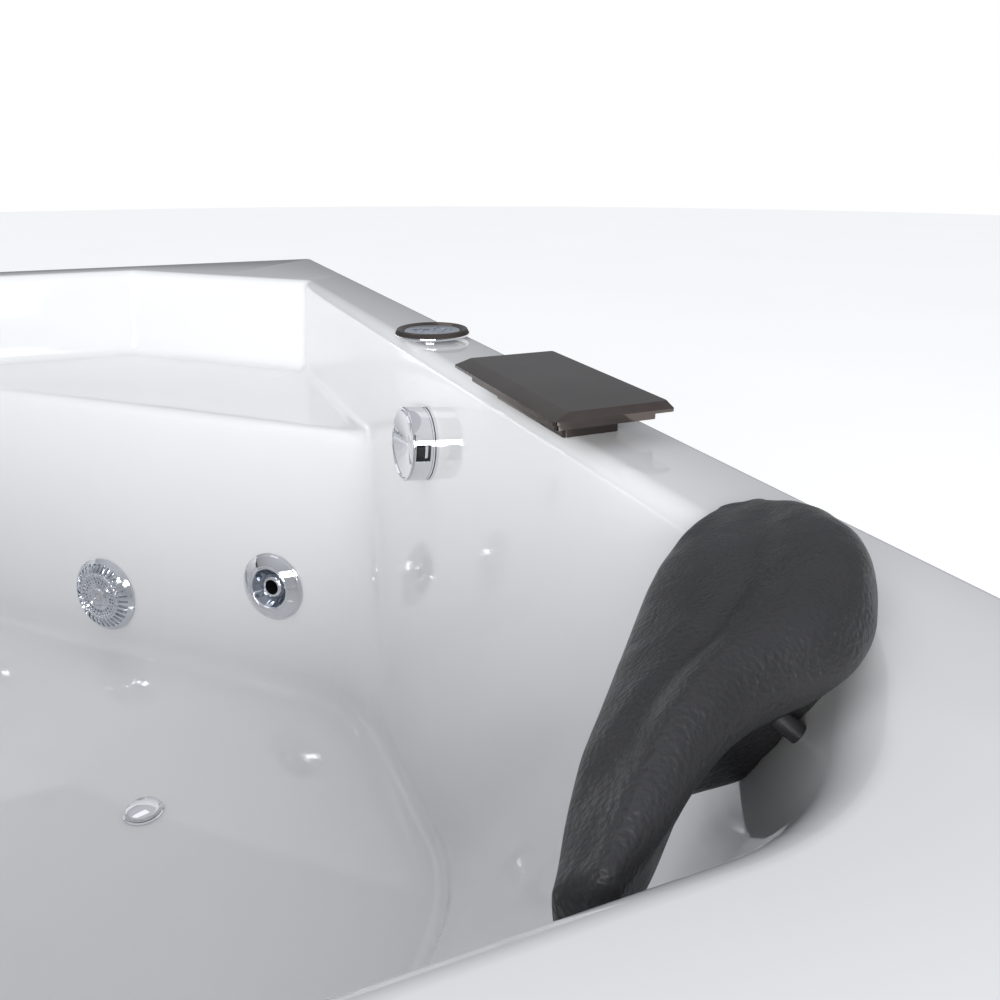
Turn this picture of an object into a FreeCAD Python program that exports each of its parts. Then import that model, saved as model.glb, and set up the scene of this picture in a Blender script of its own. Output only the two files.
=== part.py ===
import FreeCAD, Part
import math
import os
from FreeCAD import Vector

# Corner jetted bath, in millimetres.  +Z is up, the two long sides lie against
# the walls at +X and +Y, and the cut-off corner faces -X -Y.  The origin is on the
# floor under the middle of the tub.

# ---------------------------------------------------------------- driving sizes
side = 1500.0             # length of each side that stands against a wall
short_side = 760.0        # length of the two short sides beside the cut corner
height = 600.0            # floor of the room to the top of the rim
shell_t = 6.0             # acrylic shell
rim_flat = 58.0           # level part of the rim
rim_round = 12.0          # roll from the rim into the basin
rim_edge_r = 8.0          # outer edge of the rim
lip_h = 45.0              # turned-down outer lip
side_draft = 0.09         # lean of the two straight walls, run over rise
floor_z = 150.0           # inside of the basin floor
cove_r = 24.0             # round between wall and floor
shelf_z = 477.0           # shelf in the back corner
recess_leg = 218.0        # corner cut off by the wall above the shelf
recess_r = 14.0           # upright corners of that wall
shelf_leg = 571.0         # corner cut off by the front edge of the shelf
shelf_lean = 35.0         # lean of the wall under the shelf
shelf_corner_r = (45.0, 260.0)   # plan radius beside the shelf, top and bottom
seat_leg = (77.0, 380.0)         # corner cut off by a backrest, top and bottom
seat_corner_r = (100.0, 190.0)   # plan radius beside a backrest, top and bottom
front_deck = 90.0         # rim across the cut corner
front_lean = 45.0         # lean of the wall under it
front_corner_r = (140.0, 150.0)  # plan radius beside it, top and bottom
corner_radii = (12.0, 25.0, 40.0, 40.0, 25.0)  # outside corners, back corner first

seat_gap = 0.1            # between faces that bolt together
run_gap = 0.3             # between faces that move past each other
thread_gap = 0.25         # between a thread and its hole

rail = 30.0               # square section of the base frame
rail_z = 62.0             # underside of the base frame
frame_inset = 14.0        # outer edge of the rim to the frame
post = 24.0               # square section of the rim posts
bearer_w = 44.0           # bearers under the basin floor
bearer_y = (-330.0, 210.0)
bearer_half = 330.0
cross_x = (-250.0, 250.0)
pump_bar_half = 330.0     # two rails under the pump, and how far they stand each side of it
pump_bar_off = (-70.0, 95.0)
right_posts = (330.0, -430.0)             # rim posts along the sides
far_posts = (560.0, -65.0, -330.0)
left_post = 400.0
post_from_end = 70.0      # end of a short side to its last post
foot_from_end = 40.0      # end of a short side to its last foot
foot_r = 26.0
foot_pad_t = 10.0
foot_bolt_r = 6.0
foot_nut_t = 9.0

panel_t = 5.0             # apron panels
panel_gap = 0.4           # panel to the lip it stands behind
panel_foot = 15.0         # gap under the panels
panel_top_gap = 3.0
screw_head_r = 5.0
screw_r = 2.1
screw_len = 22.0

jet_rise = 130.0          # basin floor to the jets
jet_back_off = 272.0      # jets of the back wall, from its middle
jet_front_off = 190.0     # jets of the front wall, from its middle
jet_ring_r = 42.0
jet_ring_h = 11.0
jet_mouth_r = 24.0
jet_ball_r = 17.0
jet_ball_z = -8.0
jet_nozzle_r = 12.0
jet_bore_r = 8.5
jet_cup_r = 27.0          # bore of the jet body
jet_body_r = 30.0
jet_depth = 48.0
wall_nut_t = 8.0
jet_spigot_r = 12.0
jet_air_r = 6.0
jet_tilt_room = 7.0       # half width of the ball socket

suction_rise = 72.0       # basin floor to the suction fitting
suction_cover_r = 49.0
suction_off = -6.0       # middle of the back wall to the suction fitting
suction_cover_h = 15.0
suction_slots = 32
suction_body_r = 34.0
suction_depth = 46.0
suction_pipe_r = 24.0

overflow_y = -89.0
overflow_drop = 77.0      # rim to the overflow
overflow_knob_r = 33.0
overflow_knob_h = 20.0
overflow_body_r = 21.0
overflow_pipe_r = 15.0
overflow_stand = 26.0     # pipe centre to the outside of the rim
cable_r = 2.5

drain_in = 363.0          # outer edge of the rim to the waste
drain_y = -18.0
drain_cap_r = 18.0
drain_cap_h = 7.0
drain_flange_t = 2.0
drain_tube_r = 16.0
drain_body_r = 21.0
stem_r = 3.5
drain_end_z = 22.0
drain_cross_drop = 45.0   # basin floor to the pipe from the overflow
drain_tube_drop = 29.0    # basin floor to the end of the flange's tube

pad_in = 40.0             # outer edge of the rim to the control panel
panel_y = -3.0
pad_r = 36.0
pad_h = 10.0
pad_body_r = 19.0
pad_lens_r = 27.0
key_r = 3.6
key_places = ((-13.0, -2.0), (13.0, 4.0), (0.0, -13.0))
key_travel = 0.8
key_stem_r = 1.6
pad_stand = 3.0           # rim to the underside of the bezel

spout_in = (92.0, 9.0)    # outer edge of the rim to the spout's two sides
spout_y = (-376.0, -207.0)
spout_t = 6.5
spout_top = 25.0
spout_bevel = (11.0, 3.5, 4.5)            # towards the basin, along the other sides, and its drop
spout_shank_in = 38.0     # outer edge of the rim to the shank
spout_shank_r = 13.0
spout_shank_len = 78.0
spout_slot_h = 5.0

rim_nut_t = 7.0
valve_x = (50.0, 190.0)
valve_in = 36.0           # outer edge of the rim to the valves and the air control
valve_body_r = 15.0
valve_len = 92.0
valve_rose_r = 26.0
handle_r = 21.0
handle_h = 34.0
inlet_r = 10.0
inlet_len = 20.0

air_x = -190.0
air_knob_r = 22.0
air_knob_h = 18.0
air_body_len = 55.0
air_pipe_r = 7.0

supply_r = 7.5
supply_z = 415.0

pump_in = (205.0, 175.0)  # the near right corner's two sides to the pump
pump_axis_z = 164.0
volute_r = 62.0
motor_r = 54.0
motor_len = 190.0
pressure_r = 18.0

pillow_len = 240.0
pillow_off = 21.0         # middle of the rim's corner to the middle of the pillow
pillow_lap = 36.0         # the pillow over the rim
# pillow sections from its low end to its high end: its outer and inner edges from the rim's
# corner, its crest and its underside above the rim, and how far its outer face draws in below
pillow_outer = (-61.0, -51.0, -43.0, -28.0, -8.0, 1.0, 3.0, 1.0, -7.0, -21.0, -44.0)
pillow_inner = (-70.0, -77.0, -80.0, -81.0, -82.0, -83.0, -84.0, -84.0, -82.0, -78.0, -70.0)
pillow_crest = (-11.0, 2.0, 13.0, 21.0, 26.0, 29.0, 31.0, 31.0, 28.0, 22.0, 12.0)
pillow_under = (-24.0, -35.0, -46.0, -55.0, -59.0, -59.0, -55.0, -48.0, -38.0, -24.0, -6.0)
pillow_heel = (2, 6, 12, 28, 42, 20, 4, 0, 0, 0, 0)

# ---------------------------------------------------------------- derived places
half = side / 2
root2 = math.sqrt(2)
cove_top = floor_z + cove_r
rim_under = height - shell_t
wall_inset = rim_flat + rim_round
front_out = short_side / root2
pipe_line = half - 66.0   # centre line of the pipes between the basin and the frame
jet_z = floor_z + jet_rise
suction_z = floor_z + suction_rise
overflow_z = height - overflow_drop
drain_x = half - drain_in
drain_cross_z = floor_z - drain_cross_drop
drain_tube_end = floor_z - drain_tube_drop
panel_x = half - pad_in
spout_x = (half - spout_in[0], half - spout_in[1])
valve_y = half - valve_in
pump_mid = (half - pump_in[0], pump_in[1] - half)


def show(name, shape):
    """Write one node."""
    shape.exportStep("parts/" + name + ".step")
    print(name, len(shape.Solids), shape.isValid(), round(shape.Volume))


def group(shapes):
    """Several separate solids in one node."""
    return Part.makeCompound(shapes)


def box(x, y, z):
    """A block between two corners given as pairs."""
    return Part.makeBox(x[1] - x[0], y[1] - y[0], z[1] - z[0], Vector(x[0], y[0], z[0]))


def rectangle(x, y, z):
    corners = [Vector(x[0], y[0], z), Vector(x[1], y[0], z), Vector(x[1], y[1], z), Vector(x[0], y[1], z)]
    return Part.makePolygon(corners + corners[:1])


def rod(r, low, top, x=0.0, y=0.0):
    return Part.makeCylinder(r, top - low, Vector(x, y, low))


def ring(r, hole, low, top, x=0.0, y=0.0):
    return rod(r, low, top, x, y).cut(rod(hole, low - 1, top + 1, x, y))


def hexagon(r, low, top, hole, x=0.0, y=0.0):
    """A hexagonal nut with its hole."""
    turn = [math.radians(60 * k) for k in range(7)]
    points = [Vector(x + r * math.cos(a), y + r * math.sin(a), low) for a in turn]
    body = Part.Face(Part.makePolygon(points)).extrude(Vector(0, 0, top - low))
    return body.cut(rod(hole, low - 1, top + 1, x, y))


def lathe(points):
    """Turn a closed outline of (radius, height) points about Z."""
    corners = [Vector(r, 0, z) for r, z in points]
    face = Part.Face(Part.makePolygon(corners + corners[:1]))
    return face.revolve(Vector(), Vector(0, 0, 1), 360)


def direction(angle):
    angle = math.radians(angle)
    return Vector(math.cos(angle), math.sin(angle), 0)


def stood(shape, at, axis):
    """Turn local +Z to an axis, keep local +Y as upright as it goes, and move it."""
    upright = Vector(0, 0, 1)
    across = upright.cross(axis)
    across.normalize()
    turned = shape.copy()
    spin = FreeCAD.Rotation(across, axis.cross(across), axis, "ZXY")
    turned.Placement = FreeCAD.Placement(at, spin).multiply(turned.Placement)
    return turned


def route(points, bend):
    """Straight runs joined by tangent arcs of one radius."""
    points = [Vector(*p) for p in points]
    edges = []
    start = points[0]
    for before, here, after in zip(points, points[1:], points[2:]):
        come = (here - before).normalize()
        go = (after - here).normalize()
        turn = come.getAngle(go)
        reach = bend * math.tan(turn / 2)
        first = here - come * reach
        last = here + go * reach
        inward = (go - come).normalize()
        middle = here + inward * (bend / math.cos(turn / 2) - bend)
        edges.append(Part.LineSegment(start, first).toShape())
        edges.append(Part.Arc(first, middle, last).toShape())
        start = last
    edges.append(Part.LineSegment(start, points[-1]).toShape())
    return Part.Wire(edges)


def hose(points, bend, r):
    """A solid round tube of radius r along a route."""
    path = route(points, bend)
    heading = (Vector(*points[1]) - Vector(*points[0])).normalize()
    circle = Part.makeCircle(r, Vector(*points[0]), heading)
    return path.makePipeShell([Part.Wire([circle])], True, True)


def pipe(points, bend, r, bore):
    """A pipe with its bore open at both ends."""
    return hose(points, bend, r).cut(hose(points, bend, bore))


# ---------------------------------------------------------------- basin outline
def meeting(first, second):
    """Where two plan lines meet, each given as (outward angle, distance)."""
    a = direction(first[0])
    b = direction(second[0])
    scale = a.x * b.y - a.y * b.x
    x = (first[1] * b.y - second[1] * a.y) / scale
    y = (a.x * second[1] - b.x * first[1]) / scale
    return Vector(x, y, 0)


def outline(lines, radii, z):
    """A closed plan outline of lines with an arc between each two."""
    level = Vector(0, 0, z)
    arcs = []
    for k, line in enumerate(lines):
        after = lines[(k + 1) % len(lines)]
        r = radii[k]
        centre = meeting((line[0], line[1] - r), (after[0], after[1] - r)) + level
        middle = (direction(line[0]) + direction(after[0])).normalize()
        ends = [centre + direction(line[0]) * r, centre + direction(after[0]) * r]
        arcs.append((ends[0], centre + middle * r, ends[1]))
    edges = []
    for k, arc in enumerate(arcs):
        edges.append(Part.LineSegment(arcs[k - 1][2], arc[0]).toShape())
        edges.append(Part.Arc(*arc).toShape())
    return Part.Wire(edges)


def share(z, top, low):
    return (top - z) / (top - low)


def mix(pair, part):
    return pair[0] + (pair[1] - pair[0]) * part


def side_at(z):
    """Distance of the straight walls from the middle."""
    return half - wall_inset - side_draft * (height - z)


def cut_at(z, leg):
    """Distance of a 45 degree line that cuts a corner by a leg."""
    return (2 * side_at(z) - leg) / root2


def seat_at(z):
    ends = (cut_at(height, seat_leg[0]), cut_at(cove_top, seat_leg[1]))
    return mix(ends, share(z, height, cove_top))


def front_at(z):
    return front_out - front_deck - front_lean * share(z, height, cove_top)


def back_at(z):
    return cut_at(shelf_z, shelf_leg) - shelf_lean * share(z, shelf_z, cove_top)


def recess_at(z):
    return cut_at(z, recess_leg)


def section(z, grow, upper, level=None):
    """The basin's plan at a height, grown outward, above or below the shelf."""
    down = share(z, height, cove_top)
    beside_shelf = mix(shelf_corner_r, share(z, shelf_z, cove_top))
    back_r = (recess_r if upper else beside_shelf) + grow
    back = (recess_at(z) if upper else back_at(z)) + grow
    wall = side_at(z) + grow
    seat = seat_at(z) + grow
    seat_r = mix(seat_corner_r, down) + grow
    front_r = mix(front_corner_r, down) + grow
    lines = [(0, wall), (45, back), (90, wall), (135, seat)]
    lines += [(180, wall), (225, front_at(z) + grow), (270, wall), (315, seat)]
    radii = [back_r, back_r, seat_r, seat_r, front_r, front_r, seat_r, seat_r]
    return outline(lines, radii, z if level is None else level)


def skinned(sections):
    return Part.makeLoft(sections, True, True)


def upper_basin():
    """The hollow from the rim down to the shelf, with the rolled rim."""
    sections = [section(height, rim_round, True, height + 5)]
    for angle in (0, 18, 36, 54, 72, 90):
        angle = math.radians(angle)
        drop = rim_round * (1 - math.cos(angle))
        grow = rim_round * (1 - math.sin(angle))
        sections.append(section(height - drop, grow, True))
    return skinned(sections + [section(shelf_z, 0, True)])


def lower_basin(grow):
    """The basin below the shelf, grown outward, with the cove at its floor."""
    top = shelf_z if grow == 0 else shelf_z - shell_t
    sections = [section(top, grow, False), section(cove_top, grow, False)]
    r = cove_r + grow
    for angle in (15, 30, 45, 60, 75, 90):
        angle = math.radians(angle)
        inset = grow - r * (1 - math.cos(angle))
        sections.append(section(cove_top, inset, False, cove_top - r * math.sin(angle)))
    return skinned(sections)


def outer_rim(grow, z):
    """The plan of the whole tub, grown outward."""
    lines = [(0, half), (90, half), (180, half), (225, front_out), (270, half)]
    lines = [(angle, distance + grow) for angle, distance in lines]
    radii = [max(r + grow, 1.0) for r in corner_radii]
    return outline(lines, radii, z)


def slab(wire, thickness):
    return Part.Face(wire).extrude(Vector(0, 0, thickness))


# ---------------------------------------------------------------- wall places
def wall_spot(angle, along, z):
    """A point on the inside of a basin wall and its axis into the basin."""
    reach = {0: side_at, 45: back_at, 90: side_at, 225: front_at, 315: seat_at, 135: seat_at}
    distance = reach[angle](z)
    lean = reach[angle](z + 1) - distance
    at = direction(angle) * distance + direction(angle + 90) * along + Vector(0, 0, z)
    axis = (direction(angle) * -1 + Vector(0, 0, lean)).normalize()
    return at, axis


def behind(spot, depth):
    """The point a depth behind a wall spot, along its axis."""
    return spot[0] - spot[1] * depth


jet_spots = [wall_spot(45, off, jet_z) for off in (-jet_back_off, jet_back_off)]
jet_spots += [wall_spot(225, off, jet_z) for off in (-jet_front_off, jet_front_off)]
suction_spot = wall_spot(45, suction_off, suction_z)
overflow_spot = wall_spot(0, overflow_y, overflow_z)
stud_off = (12.0, 28.0)
stud_r = 4.0
stud_z = height - 28.0


def stud_spots(angle):
    """The two press studs of a pillow, towards the back corner from the middle of its wall."""
    way = {315: 1, 135: -1}[angle]
    return [wall_spot(angle, way * off, stud_z) for off in stud_off]


all_studs = stud_spots(315) + stud_spots(135)


# ---------------------------------------------------------------- tub shell
def tub_shell():
    lip = slab(outer_rim(0, height - lip_h), lip_h)
    top = [e for e in lip.Edges if all(abs(v.Z - height) < 1e-6 for v in e.Vertexes)]
    lip = lip.makeFillet(rim_edge_r, top)
    lip = lip.cut(slab(outer_rim(-shell_t, height - lip_h - 1), lip_h + 1 - shell_t))
    neck = skinned([section(height - shell_t / 2, shell_t, True),
                    section(shelf_z - shell_t, shell_t, True)])
    tub = lip.fuse([neck, lower_basin(shell_t)])
    tub = tub.cut(upper_basin()).cut(lower_basin(0))
    through = shell_t + 20
    holes = []
    for spot in jet_spots:
        holes.append(stood(rod(jet_body_r + 0.5, -through, through), *spot))
    holes.append(stood(rod(suction_body_r + 0.5, -through, through), *suction_spot))
    holes.append(stood(rod(overflow_body_r + 0.5, -through, through), *overflow_spot))
    for spot in all_studs:
        holes.append(stood(rod(stud_r + thread_gap, -through, through), *spot))
    holes.append(rod(drain_tube_r + 0.5, floor_z - through, floor_z + through, drain_x, drain_y))
    on_rim = [(panel_x, panel_y, pad_body_r), (spout_mid[0], spout_mid[1], spout_shank_r)]
    on_rim += [(x, valve_y, valve_body_r) for x in valve_x]
    on_rim.append((air_x, valve_y, valve_body_r))
    for x, y, r in on_rim:
        holes.append(rod(r + 0.5, height - through, height + through, x, y))
    return tub.cut(holes)


spout_mid = (half - spout_shank_in, sum(spout_y) / 2)


# ---------------------------------------------------------------- frame and feet
def base_frame():
    ring_out = slab(outer_rim(-frame_inset, rail_z), rail)
    ring_in = slab(outer_rim(-frame_inset - rail, rail_z - 1), rail + 2)
    frame = ring_out.cut(ring_in)
    reach = half - frame_inset - rail / 2
    bars = []
    for x in cross_x:
        bar = box((x - rail / 2, x + rail / 2), (-reach, reach), (rail_z, rail_z + rail))
        bars.append(bar.common(ring_out))
    diagonal = box((-pump_bar_half, pump_bar_half), (-rail / 2, rail / 2), (rail_z, rail_z + rail))
    for shift in pump_bar_off:
        bar = diagonal.copy()
        bar.rotate(Vector(), Vector(0, 0, 1), 45)
        centre = Vector(pump_mid[0], pump_mid[1], 0) + direction(315) * shift
        bar.translate(centre)
        bars.append(bar.common(ring_out))
    frame = frame.fuse(bars)
    holes = [rod(foot_bolt_r + thread_gap, 0, height, x, y) for x, y in foot_places]
    return frame.cut(holes + [screw_holes()]).removeSplitter()


rail_mid = half - frame_inset - rail / 2
short_end = half - short_side
foot_places = [(rail_mid, rail_mid), (rail_mid, -rail_mid), (-rail_mid, rail_mid)]
foot_places += [(rail_mid, 0.0), (0.0, rail_mid)]
foot_places += [(-rail_mid, short_end + foot_from_end), (short_end + foot_from_end, -rail_mid)]
post_mid = half - frame_inset - post / 2
post_places = [(post_mid, post_mid), (post_mid, -post_mid), (-post_mid, post_mid)]
post_places += [(post_mid, y) for y in right_posts] + [(x, post_mid) for x in far_posts]
post_places += [(-post_mid, left_post), (-post_mid, short_end + post_from_end)]
post_places.append((short_end + post_from_end, -post_mid))
rail_top = rail_z + rail


def rim_posts():
    low = rail_top + seat_gap
    top = rim_under - seat_gap
    return group([box((x - post / 2, x + post / 2), (y - post / 2, y + post / 2), (low, top))
                  for x, y in post_places])


def floor_bearers():
    """Two bearers that carry the basin floor from the cross rails."""
    low = rail_top + seat_gap
    top = floor_z - shell_t - seat_gap
    return group([box((-bearer_half, bearer_half), (y, y + bearer_w), (low, top))
                  for y in bearer_y])


def foot_pads():
    pads = []
    for x, y in foot_places:
        pad = lathe([(0, 0), (foot_r - 1.5, 0), (foot_r, 1.5), (foot_r - 3, foot_pad_t),
                     (0, foot_pad_t)])
        pads.append(pad.translated(Vector(x, y, 0)))
    return group(pads)


def foot_bolts():
    low = foot_pad_t + seat_gap
    return group([rod(foot_bolt_r, low, rail_top - 2, x, y) for x, y in foot_places])


def foot_nuts():
    top = rail_z - seat_gap
    return group([hexagon(foot_bolt_r * 1.9, top - foot_nut_t, top, foot_bolt_r + thread_gap, x, y)
                  for x, y in foot_places])


# ---------------------------------------------------------------- apron panels
def apron_ring():
    low = panel_foot
    tall = rim_under - panel_top_gap - low
    outside = slab(outer_rim(-shell_t - panel_gap, low), tall)
    return outside.cut(slab(outer_rim(-shell_t - panel_gap - panel_t, low - 1), tall + 2))


def side_block(angle):
    """A block that holds only the part of the ring along one side."""
    reach = front_out - 40.0
    block = box((reach, half + 50), (-half, half), (0, height))
    block.rotate(Vector(), Vector(0, 0, 1), angle)
    return block


def apron_front():
    """The service panel across the cut corner."""
    panel = apron_ring().common(side_block(225))
    return panel.cut(screw_holes())


def apron_sides():
    """The two short side panels, which stop a gap short of the service panel."""
    ring_all = apron_ring()
    front_zone = box((front_out - 40.0 - 1.0, half + 50), (-half, half), (0, height))
    front_zone.rotate(Vector(), Vector(0, 0, 1), 225)
    low_side = box((-half, half - frame_inset - post), (-half, -half + 40), (0, height))
    left_side = box((-half, -half + 40), (-half, half - frame_inset - post), (0, height))
    sides = [ring_all.common(part).cut(front_zone) for part in (low_side, left_side)]
    return group([panel.cut(screw_holes()) for panel in sides])


screw_z = rail_z + rail / 2
panel_front_in = shell_t + panel_gap


def screw_spots():
    """Screws through the panels into the base frame: a point outside and its axis."""
    spots = []
    for off in (-300.0, 0.0, 300.0):
        at = direction(225) * (front_out - panel_front_in) + direction(315) * off
        spots.append((at + Vector(0, 0, screw_z), direction(225)))
    for along in (180.0, 560.0):
        spots.append((Vector(along, -half + panel_front_in, screw_z), direction(270)))
        spots.append((Vector(-half + panel_front_in, along, screw_z), direction(180)))
    return spots


def screw_holes():
    return group([stood(rod(screw_r + thread_gap, -screw_len - 3, 20), *spot) for spot in screw_spots()])


def apron_screws():
    head = lathe([(0, -screw_len), (screw_r, -screw_len), (screw_r, seat_gap),
                  (screw_head_r, seat_gap), (screw_head_r - 1.2, 2.6), (0, 3.0)])
    return group([stood(head, *spot) for spot in screw_spots()])


def apron_blocks():
    """Spacer blocks between the panels and the frame, one round each screw."""
    low = panel_t + seat_gap
    deep = frame_inset - panel_front_in - seat_gap
    block = box((-14, 14), (-12, 12), (-deep, -low)).cut(rod(screw_r + thread_gap, -20, 20))
    return group([stood(block, *spot) for spot in screw_spots()])


# ---------------------------------------------------------------- jets
jet_flange_t = 2.5
jet_flange_r = jet_ring_r - 4.0


def jet_body():
    """Flanged cup with a water spigot behind it and an air spigot above."""
    cup = lathe([(0, -jet_depth), (jet_body_r, -jet_depth), (jet_body_r, seat_gap),
                 (jet_flange_r, seat_gap), (jet_flange_r, seat_gap + jet_flange_t),
                 (jet_cup_r, seat_gap + jet_flange_t), (jet_cup_r, -jet_depth + 4),
                 (0, -jet_depth + 4)])
    spigot = rod(jet_spigot_r, -jet_back + 24, -jet_depth + 1)
    air = rod(jet_air_r, jet_body_r - 2, jet_air_rise).copy()
    air.rotate(Vector(), Vector(1, 0, 0), -90)
    air.translate(Vector(0, 0, -air_depth))
    bore = rod(jet_spigot_r - 2.5, -jet_back, -jet_depth + 6)
    air_bore = rod(jet_air_r - 2, 0, jet_air_rise + 1)
    air_bore.rotate(Vector(), Vector(1, 0, 0), -90)
    air_bore.translate(Vector(0, 0, -air_depth))
    return cup.fuse([spigot, air]).cut([bore, air_bore])


jet_back = 88.0           # wall to the centre line of the pressure pipe behind it
air_depth = 30.0          # wall to the air spigot
jet_air_rise = 46.0       # jet axis to the end of its air spigot
air_rise = 62.0           # jet axis to the air pipe above it


def jet_ring():
    """Turning bezel with the ball socket in its sleeve."""
    low = seat_gap + jet_flange_t + run_gap
    sleeve_r = jet_cup_r - run_gap
    socket = jet_ball_r + run_gap
    mouth = math.sqrt(socket ** 2 - jet_tilt_room ** 2)
    body = lathe([(mouth, jet_ball_z + jet_tilt_room), (jet_mouth_r, jet_ring_h - 1.5),
                  (jet_mouth_r + 1.5, jet_ring_h), (jet_mouth_r + 4, jet_ring_h - 0.6),
                  (jet_ring_r - 1.5, 3.2), (jet_ring_r, 1.8), (jet_ring_r, run_gap),
                  (jet_flange_r + run_gap, run_gap), (jet_flange_r + run_gap, low),
                  (sleeve_r, low), (sleeve_r, jet_ball_z - jet_tilt_room),
                  (mouth, jet_ball_z - jet_tilt_room)])
    return body.cut(Part.makeSphere(socket, Vector(0, 0, jet_ball_z)))


def jet_nozzle():
    """Ball nozzle, cut flat where the water comes out."""
    ball = Part.makeSphere(jet_ball_r, Vector(0, 0, jet_ball_z))
    rise = math.sqrt(jet_ball_r ** 2 - jet_nozzle_r ** 2)
    front = rod(jet_ball_r + 2, jet_ball_z + rise, jet_ball_z + jet_ball_r + 2)
    rear = rod(jet_ball_r + 2, jet_ball_z - jet_ball_r - 2, jet_ball_z - rise)
    return ball.cut([front, rear, rod(jet_bore_r, -60, 60)])


def wall_nut(thread_r):
    """Nut behind the shell on a threaded wall fitting."""
    top = -shell_t - seat_gap
    return hexagon(thread_r + 9, top - wall_nut_t, top, thread_r + thread_gap)


def wall_nuts():
    """The nuts of the jets, the suction fitting and the overflow."""
    nuts = [stood(wall_nut(jet_body_r), *spot) for spot in jet_spots]
    nuts.append(stood(wall_nut(suction_body_r), *suction_spot))
    nuts.append(stood(wall_nut(overflow_body_r), *overflow_spot))
    return group(nuts)


# ---------------------------------------------------------------- suction fitting
def suction_body():
    cup = lathe([(suction_body_r - 3, seat_gap), (suction_body_r + 6, seat_gap),
                 (suction_body_r + 6, 2.6), (suction_body_r - 3, 2.6)])
    wall = lathe([(0, -suction_depth), (suction_body_r, -suction_depth),
                  (suction_body_r, 1.0), (suction_body_r - 3, 1.0),
                  (suction_body_r - 3, -suction_depth + 4), (0, -suction_depth + 4)])
    spigot = rod(suction_pipe_r - 2 - seat_gap, -suction_depth - 22, -suction_depth + 1)
    bore = rod(suction_pipe_r - 5, -suction_depth - 30, -suction_depth + 5)
    spider = box((-suction_body_r + 1, suction_body_r - 1), (-3, 3), (-8, 0.5))
    boss = rod(6, -16, 2)
    body = cup.fuse([wall, spigot]).cut(bore).fuse([spider, boss])
    return body.cut(rod(2.2, -14, 10))


def suction_cover():
    """Domed cover with radial slots round a plain middle."""
    r = suction_cover_r
    top = suction_cover_h
    dome = lathe([(0, 6.0), (r * 0.6, 6.0), (r - 3.5, 3.0), (r - 3.5, run_gap),
                  (r, run_gap), (r, 3.0), (r - 7, top - 4.5), (r * 0.62, top - 1.0),
                  (r * 0.3, top), (0, top)])
    slot = box((r * 0.66, r - 6.5), (-1.2, 1.2), (-1, top + 1))
    holes = [rod(1.4, -1, top + 1, r * 0.5), rod(1.2, -1, top + 1, r * 0.36)]
    cuts = []
    for k in range(suction_slots):
        for shape in [slot] + (holes if k % 2 == 0 else []):
            turned = shape.copy()
            turned.rotate(Vector(), Vector(0, 0, 1), 360.0 * k / suction_slots)
            cuts.append(turned)
    bore = rod(2.6, -1, top + 1).fuse(rod(5.2, top - 3, top + 1))
    return dome.cut(cuts).cut(bore)


def suction_screw():
    top = suction_cover_h
    return rod(2.0, -10, top - 2.5).fuse(rod(4.8, top - 2.9, top - 0.4))


# ---------------------------------------------------------------- overflow
overflow_flange_t = 2.5


def overflow_body():
    """Threaded sleeve with its flange, an elbow down and a spindle bearing."""
    sleeve = lathe([(overflow_body_r - 3, -shell_t - 12), (overflow_body_r, -shell_t - 12),
                    (overflow_body_r, seat_gap), (overflow_knob_r + 1, seat_gap),
                    (overflow_knob_r + 1, seat_gap + overflow_flange_t),
                    (overflow_body_r - 3, seat_gap + overflow_flange_t)])
    spider = box((-overflow_body_r + 1, overflow_body_r - 1), (-2.5, 2.5), (-10, 2))
    boss = rod(8, -14, 2.0)
    return sleeve.fuse([spider, boss]).cut(rod(5 + run_gap, -15, 10))


def overflow_elbow():
    """Box elbow behind the wall that turns the overflow down into its pipe."""
    r = overflow_body_r + 5
    deep = half - overflow_stand - overflow_spot[0].x + overflow_pipe_r + 2.5
    shell = rod(r, -deep, -shell_t - 12 - seat_gap)
    inner = rod(r - 3, -deep + 3, -shell_t)
    down = rod(overflow_pipe_r + 3, overflow_z - 62, overflow_z,
               half - overflow_stand, overflow_y)
    down_bore = rod(overflow_pipe_r + seat_gap, overflow_z - 63, overflow_z,
                    half - overflow_stand, overflow_y)
    elbow = stood(shell, *overflow_spot).fuse(down)
    return elbow.cut([stood(inner, *overflow_spot), down_bore])


def overflow_knob():
    """Round drum knob with a dished face, a spindle and water slots under its rim."""
    low = seat_gap + overflow_flange_t + run_gap
    top = low + overflow_knob_h
    r = overflow_knob_r
    drum = lathe([(0, low + 8), (r - 4, low + 8), (r - 4, low), (r, low), (r, top - 1.2),
                  (r - 1.2, top), (r - 2.4, top), (5, top - 6), (0, top - 6)])
    spindle = rod(5, -24, low + 9)
    notch = box((-7, 7), (-r - 1, -r + 9), (low - 1, low + 9))
    pocket = box((r - 7, r + 1), (-6, 6), (low + 4, top - 3))
    return drum.fuse(spindle).cut([notch, pocket])


overflow_route = [(half - overflow_stand, overflow_y, overflow_z - 40),
                  (half - overflow_stand, overflow_y, drain_cross_z),
                  (drain_x + drain_body_r + 60, drain_y, drain_cross_z),
                  (drain_x + drain_body_r + 1, drain_y, drain_cross_z)]


def overflow_pipe():
    return pipe(overflow_route, 40.0, overflow_pipe_r, overflow_pipe_r - 2)


def lift_cable():
    """Cable in the overflow pipe that lifts the plug."""
    inner = [overflow_route[0], overflow_route[1], overflow_route[2],
             (drain_x + stem_r + run_gap, drain_y, drain_cross_z)]
    return hose(inner, 40.0, cable_r)


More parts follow.
